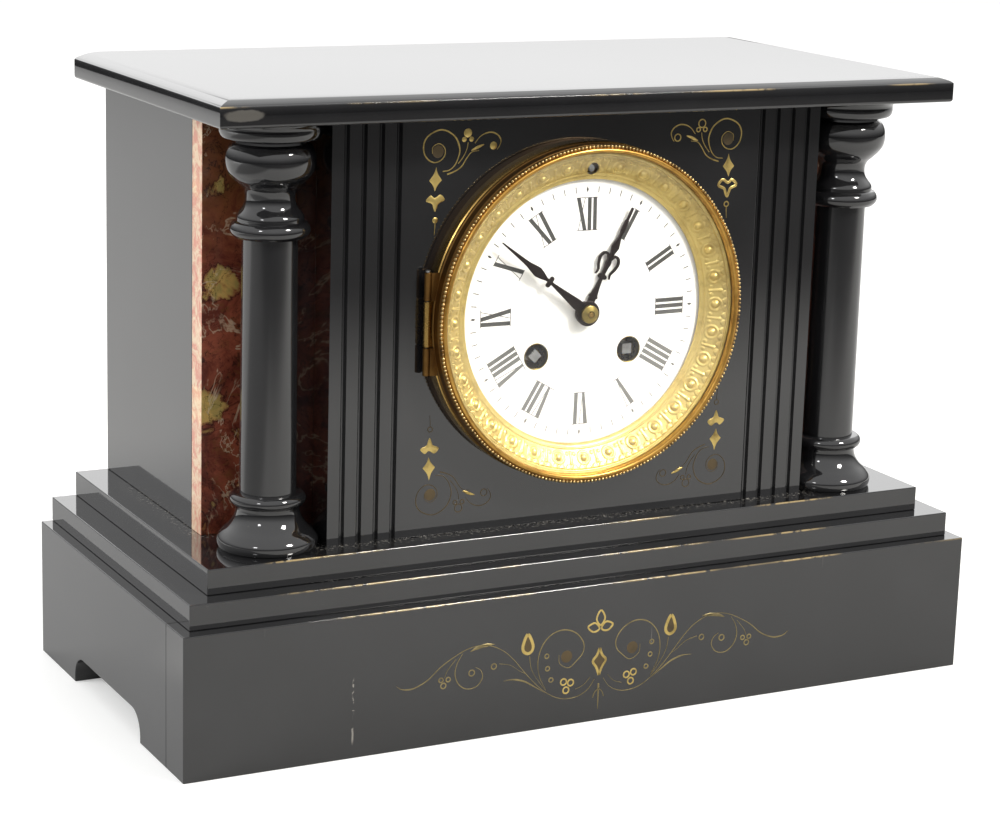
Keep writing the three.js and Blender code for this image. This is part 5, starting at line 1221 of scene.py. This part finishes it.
def surroundings(settings):
    """The world: white to the camera and through the glass, and a dim room with a bright upper part in the gloss."""
    f = Finish("surroundings", "worlds", "Generated")
    height = f.node("ShaderNodeSeparateXYZ", None, {0: f.place}, "Z")
    level = height.rise(-0.1, 0.5) * settings.room + 0.02
    seen = f.node("ShaderNodeLightPath", output="Is Camera Ray")
    seen = seen.most(f.node("ShaderNodeLightPath", output="Is Transmission Ray"))
    strength = level * (1 - seen) + seen
    shine = f.node("ShaderNodeBackground", None, {"Color": (1, 1, 1, 1), "Strength": strength})
    f.node("ShaderNodeOutputWorld", None, {"Surface": shine})
    return f.made


class CLOCK_OT_stage(bpy.types.Operator):
    """Sets the camera at the photograph's view, the pale floor, the lamps and the surroundings"""

    bl_idname = "clock.stage"
    bl_label = "Stage"

    def execute(self, context):
        settings = context.scene.clock_settings
        scene = context.scene
        scene.view_settings.view_transform = "Standard"

        azimuth, elevation, roll = (math.radians(v) for v in (CAMERA_TURN, CAMERA_RISE, CAMERA_ROLL))
        back = Vector((math.sin(azimuth) * math.cos(elevation), -math.cos(azimuth) * math.cos(elevation),
                       math.sin(elevation)))
        right = (-back).cross(Vector((0, 0, 1))).normalized()
        up = right.cross(-back)
        turned_right = right * math.cos(roll) + up * math.sin(roll)
        turned_up = up * math.cos(roll) - right * math.sin(roll)
        camera = bpy.data.cameras.new("camera")
        camera.lens, camera.sensor_width = LENS, FILM
        eye = bpy.data.objects.new("camera", camera)
        eye.matrix_world = Matrix.Translation(Vector(CAMERA_PLACE) * MM) @ Matrix(
            (turned_right, turned_up, back)).transposed().to_4x4()
        scene.collection.objects.link(eye)
        scene.camera = eye

        floor = bpy.data.meshes.new("floor")
        corners = [(-1, -1, 0), (1, -1, 0), (1, 1, 0), (-1, 1, 0)]
        floor.from_pydata([Vector(corner) * FLOOR_REACH for corner in corners], [], [(0, 1, 2, 3)])
        floor.materials.append(floor_finish(settings))
        ground = bpy.data.objects.new("floor", floor)
        scene.collection.objects.link(ground)

        for name, place, target, size, colour in LAMPS:
            data = bpy.data.lights.new(name, "AREA")
            data.shape, data.size, data.size_y = "RECTANGLE", size[0], size[1]
            data.energy, data.color = getattr(settings, name), colour
            made = bpy.data.objects.new(name, data)
            made.location = place
            made.rotation_euler = (Vector(target) - Vector(place)).to_track_quat("-Z", "Y").to_euler()
            made.visible_camera, made.visible_glossy = False, name != "side"
            scene.collection.objects.link(made)

        scene.world = surroundings(settings)
        return {"FINISHED"}


# ---- settings, panel and start


class ClockSettings(bpy.types.PropertyGroup):
    """What a user may change before the pieces are built"""

    def colour(name, description, default):
        return FloatVectorProperty(name=name, description=description, default=(*default, 1.0), size=4, min=0,
                                   max=1, subtype="COLOR")

    def number(name, description, default, **more):
        return FloatProperty(name=name, description=description, default=default, min=0, **more)

    arris: number("Arris", "Width of the eased stone edges", 0.0004, unit="LENGTH")
    bead_count: IntProperty(name="Beads", description="Beads round the bezel", default=258, min=24)
    boss_count: IntProperty(name="Bosses", description="Round bosses on the sight ring", default=32, min=6)
    relief: number("Relief", "Depth of the sight ring's stamping", 1.35, subtype="FACTOR")
    gilding: number("Gilding height", "Height of the gilded lines in millimetres", 0.12)
    slate: colour("Slate", "Polished black slate", (0.012, 0.012, 0.013))
    dust: colour("Dust", "Grey dust and scratches", tint(150, 146, 138))
    marble: colour("Marble", "Red ground of the marble", tint(158, 84, 62))
    marble_dark: colour("Marble shade", "Darker clouds of the marble", tint(96, 44, 34))
    marble_patch: colour("Marble patch", "Ochre patches of the marble", tint(206, 168, 96))
    marble_vein: colour("Marble vein", "Pale veins of the marble", tint(222, 200, 168))
    marble_crack: colour("Marble cracks", "Fine dark cracks of the marble", tint(44, 26, 22))
    # Colour of the painted pale sheen on the marble's side face
    marble_side_sheen: colour("Marble side sheen", "Painted pale pink sheen on the marble's side", tint(206, 142, 120))
    marble_olive: colour("Marble olive", "Browner ground at the head of the marble", tint(112, 74, 40))
    marble_green: colour("Marble green", "Greenish ochre in the patches", tint(168, 148, 84))
    # Darker, duller brown on the bezel rim's outer wall
    rim_wall: colour("Rim wall", "Darker brown on the bezel's outer wall", tint(104, 74, 42))
    # Colour of the painted glints along the front arrises of the stone
    arris_glint: colour("Arris glints", "Painted pale glints along the front arrises", tint(176, 152, 104))
    faded_ink: colour("Faded ink", "Numerals at the foot of the dial", tint(122, 122, 118))
    enamel: colour("Enamel", "White enamel", tint(246, 245, 240))
    ink: colour("Ink", "Numerals and minute marks", tint(58, 58, 55))
    gilt: colour("Gilding", "Gilded metal", tint(206, 160, 82))
    gilt_shade: colour("Gilding shade", "Clouds in the bezel's gilding", tint(140, 98, 50))
    line_gilt: colour("Gilded lines", "Gilded ornament", tint(222, 196, 122))
    hands: colour("Hands", "Dark hands", tint(56, 49, 48))
    floor: colour("Floor", "Pale floor", (0.82, 0.82, 0.81))
    key: number("Key lamp", "Power of the upper right lamp", 40.0, unit="POWER")
    sky: number("Back lamp", "Power of the lamp mirrored in the top", 5.6, unit="POWER")
    side: number("Side lamp", "Power of the left lamp", 52.0, unit="POWER")
    glint: number("Glint lamp", "Power of the small lamp on the left", 2.0, unit="POWER")
    room: number("Room", "Level of the surroundings", 0.9)


OPERATORS = [
    CLOCK_OT_stone, CLOCK_OT_top, CLOCK_OT_pilasters, CLOCK_OT_columns, CLOCK_OT_marble, CLOCK_OT_bezel,
    CLOCK_OT_dial, CLOCK_OT_hands, CLOCK_OT_gilding, CLOCK_OT_back, CLOCK_OT_movement, CLOCK_OT_stage,
]


class CLOCK_PT_panel(bpy.types.Panel):
    """Lists the clock's pieces in the sidebar"""

    bl_idname = "CLOCK_PT_panel"
    bl_label = "Mantel Clock"
    bl_space_type = "VIEW_3D"
    bl_region_type = "UI"
    bl_category = "Clock"

    def draw(self, context):
        settings = context.scene.clock_settings
        for name in ClockSettings.__annotations__:
            self.layout.prop(settings, name)
        for operator in OPERATORS:
            self.layout.operator(operator.bl_idname)


def register():
    for kind in (ClockSettings, *OPERATORS, CLOCK_PT_panel):
        bpy.utils.register_class(kind)
    bpy.types.Scene.clock_settings = PointerProperty(type=ClockSettings)


def unregister():
    del bpy.types.Scene.clock_settings
    for kind in (CLOCK_PT_panel, *reversed(OPERATORS), ClockSettings):
        bpy.utils.unregister_class(kind)


def main():
    register()
    for operator in OPERATORS:
        group, name = operator.bl_idname.split(".")
        getattr(getattr(bpy.ops, group), name)()


if __name__ == "__main__":
    main()
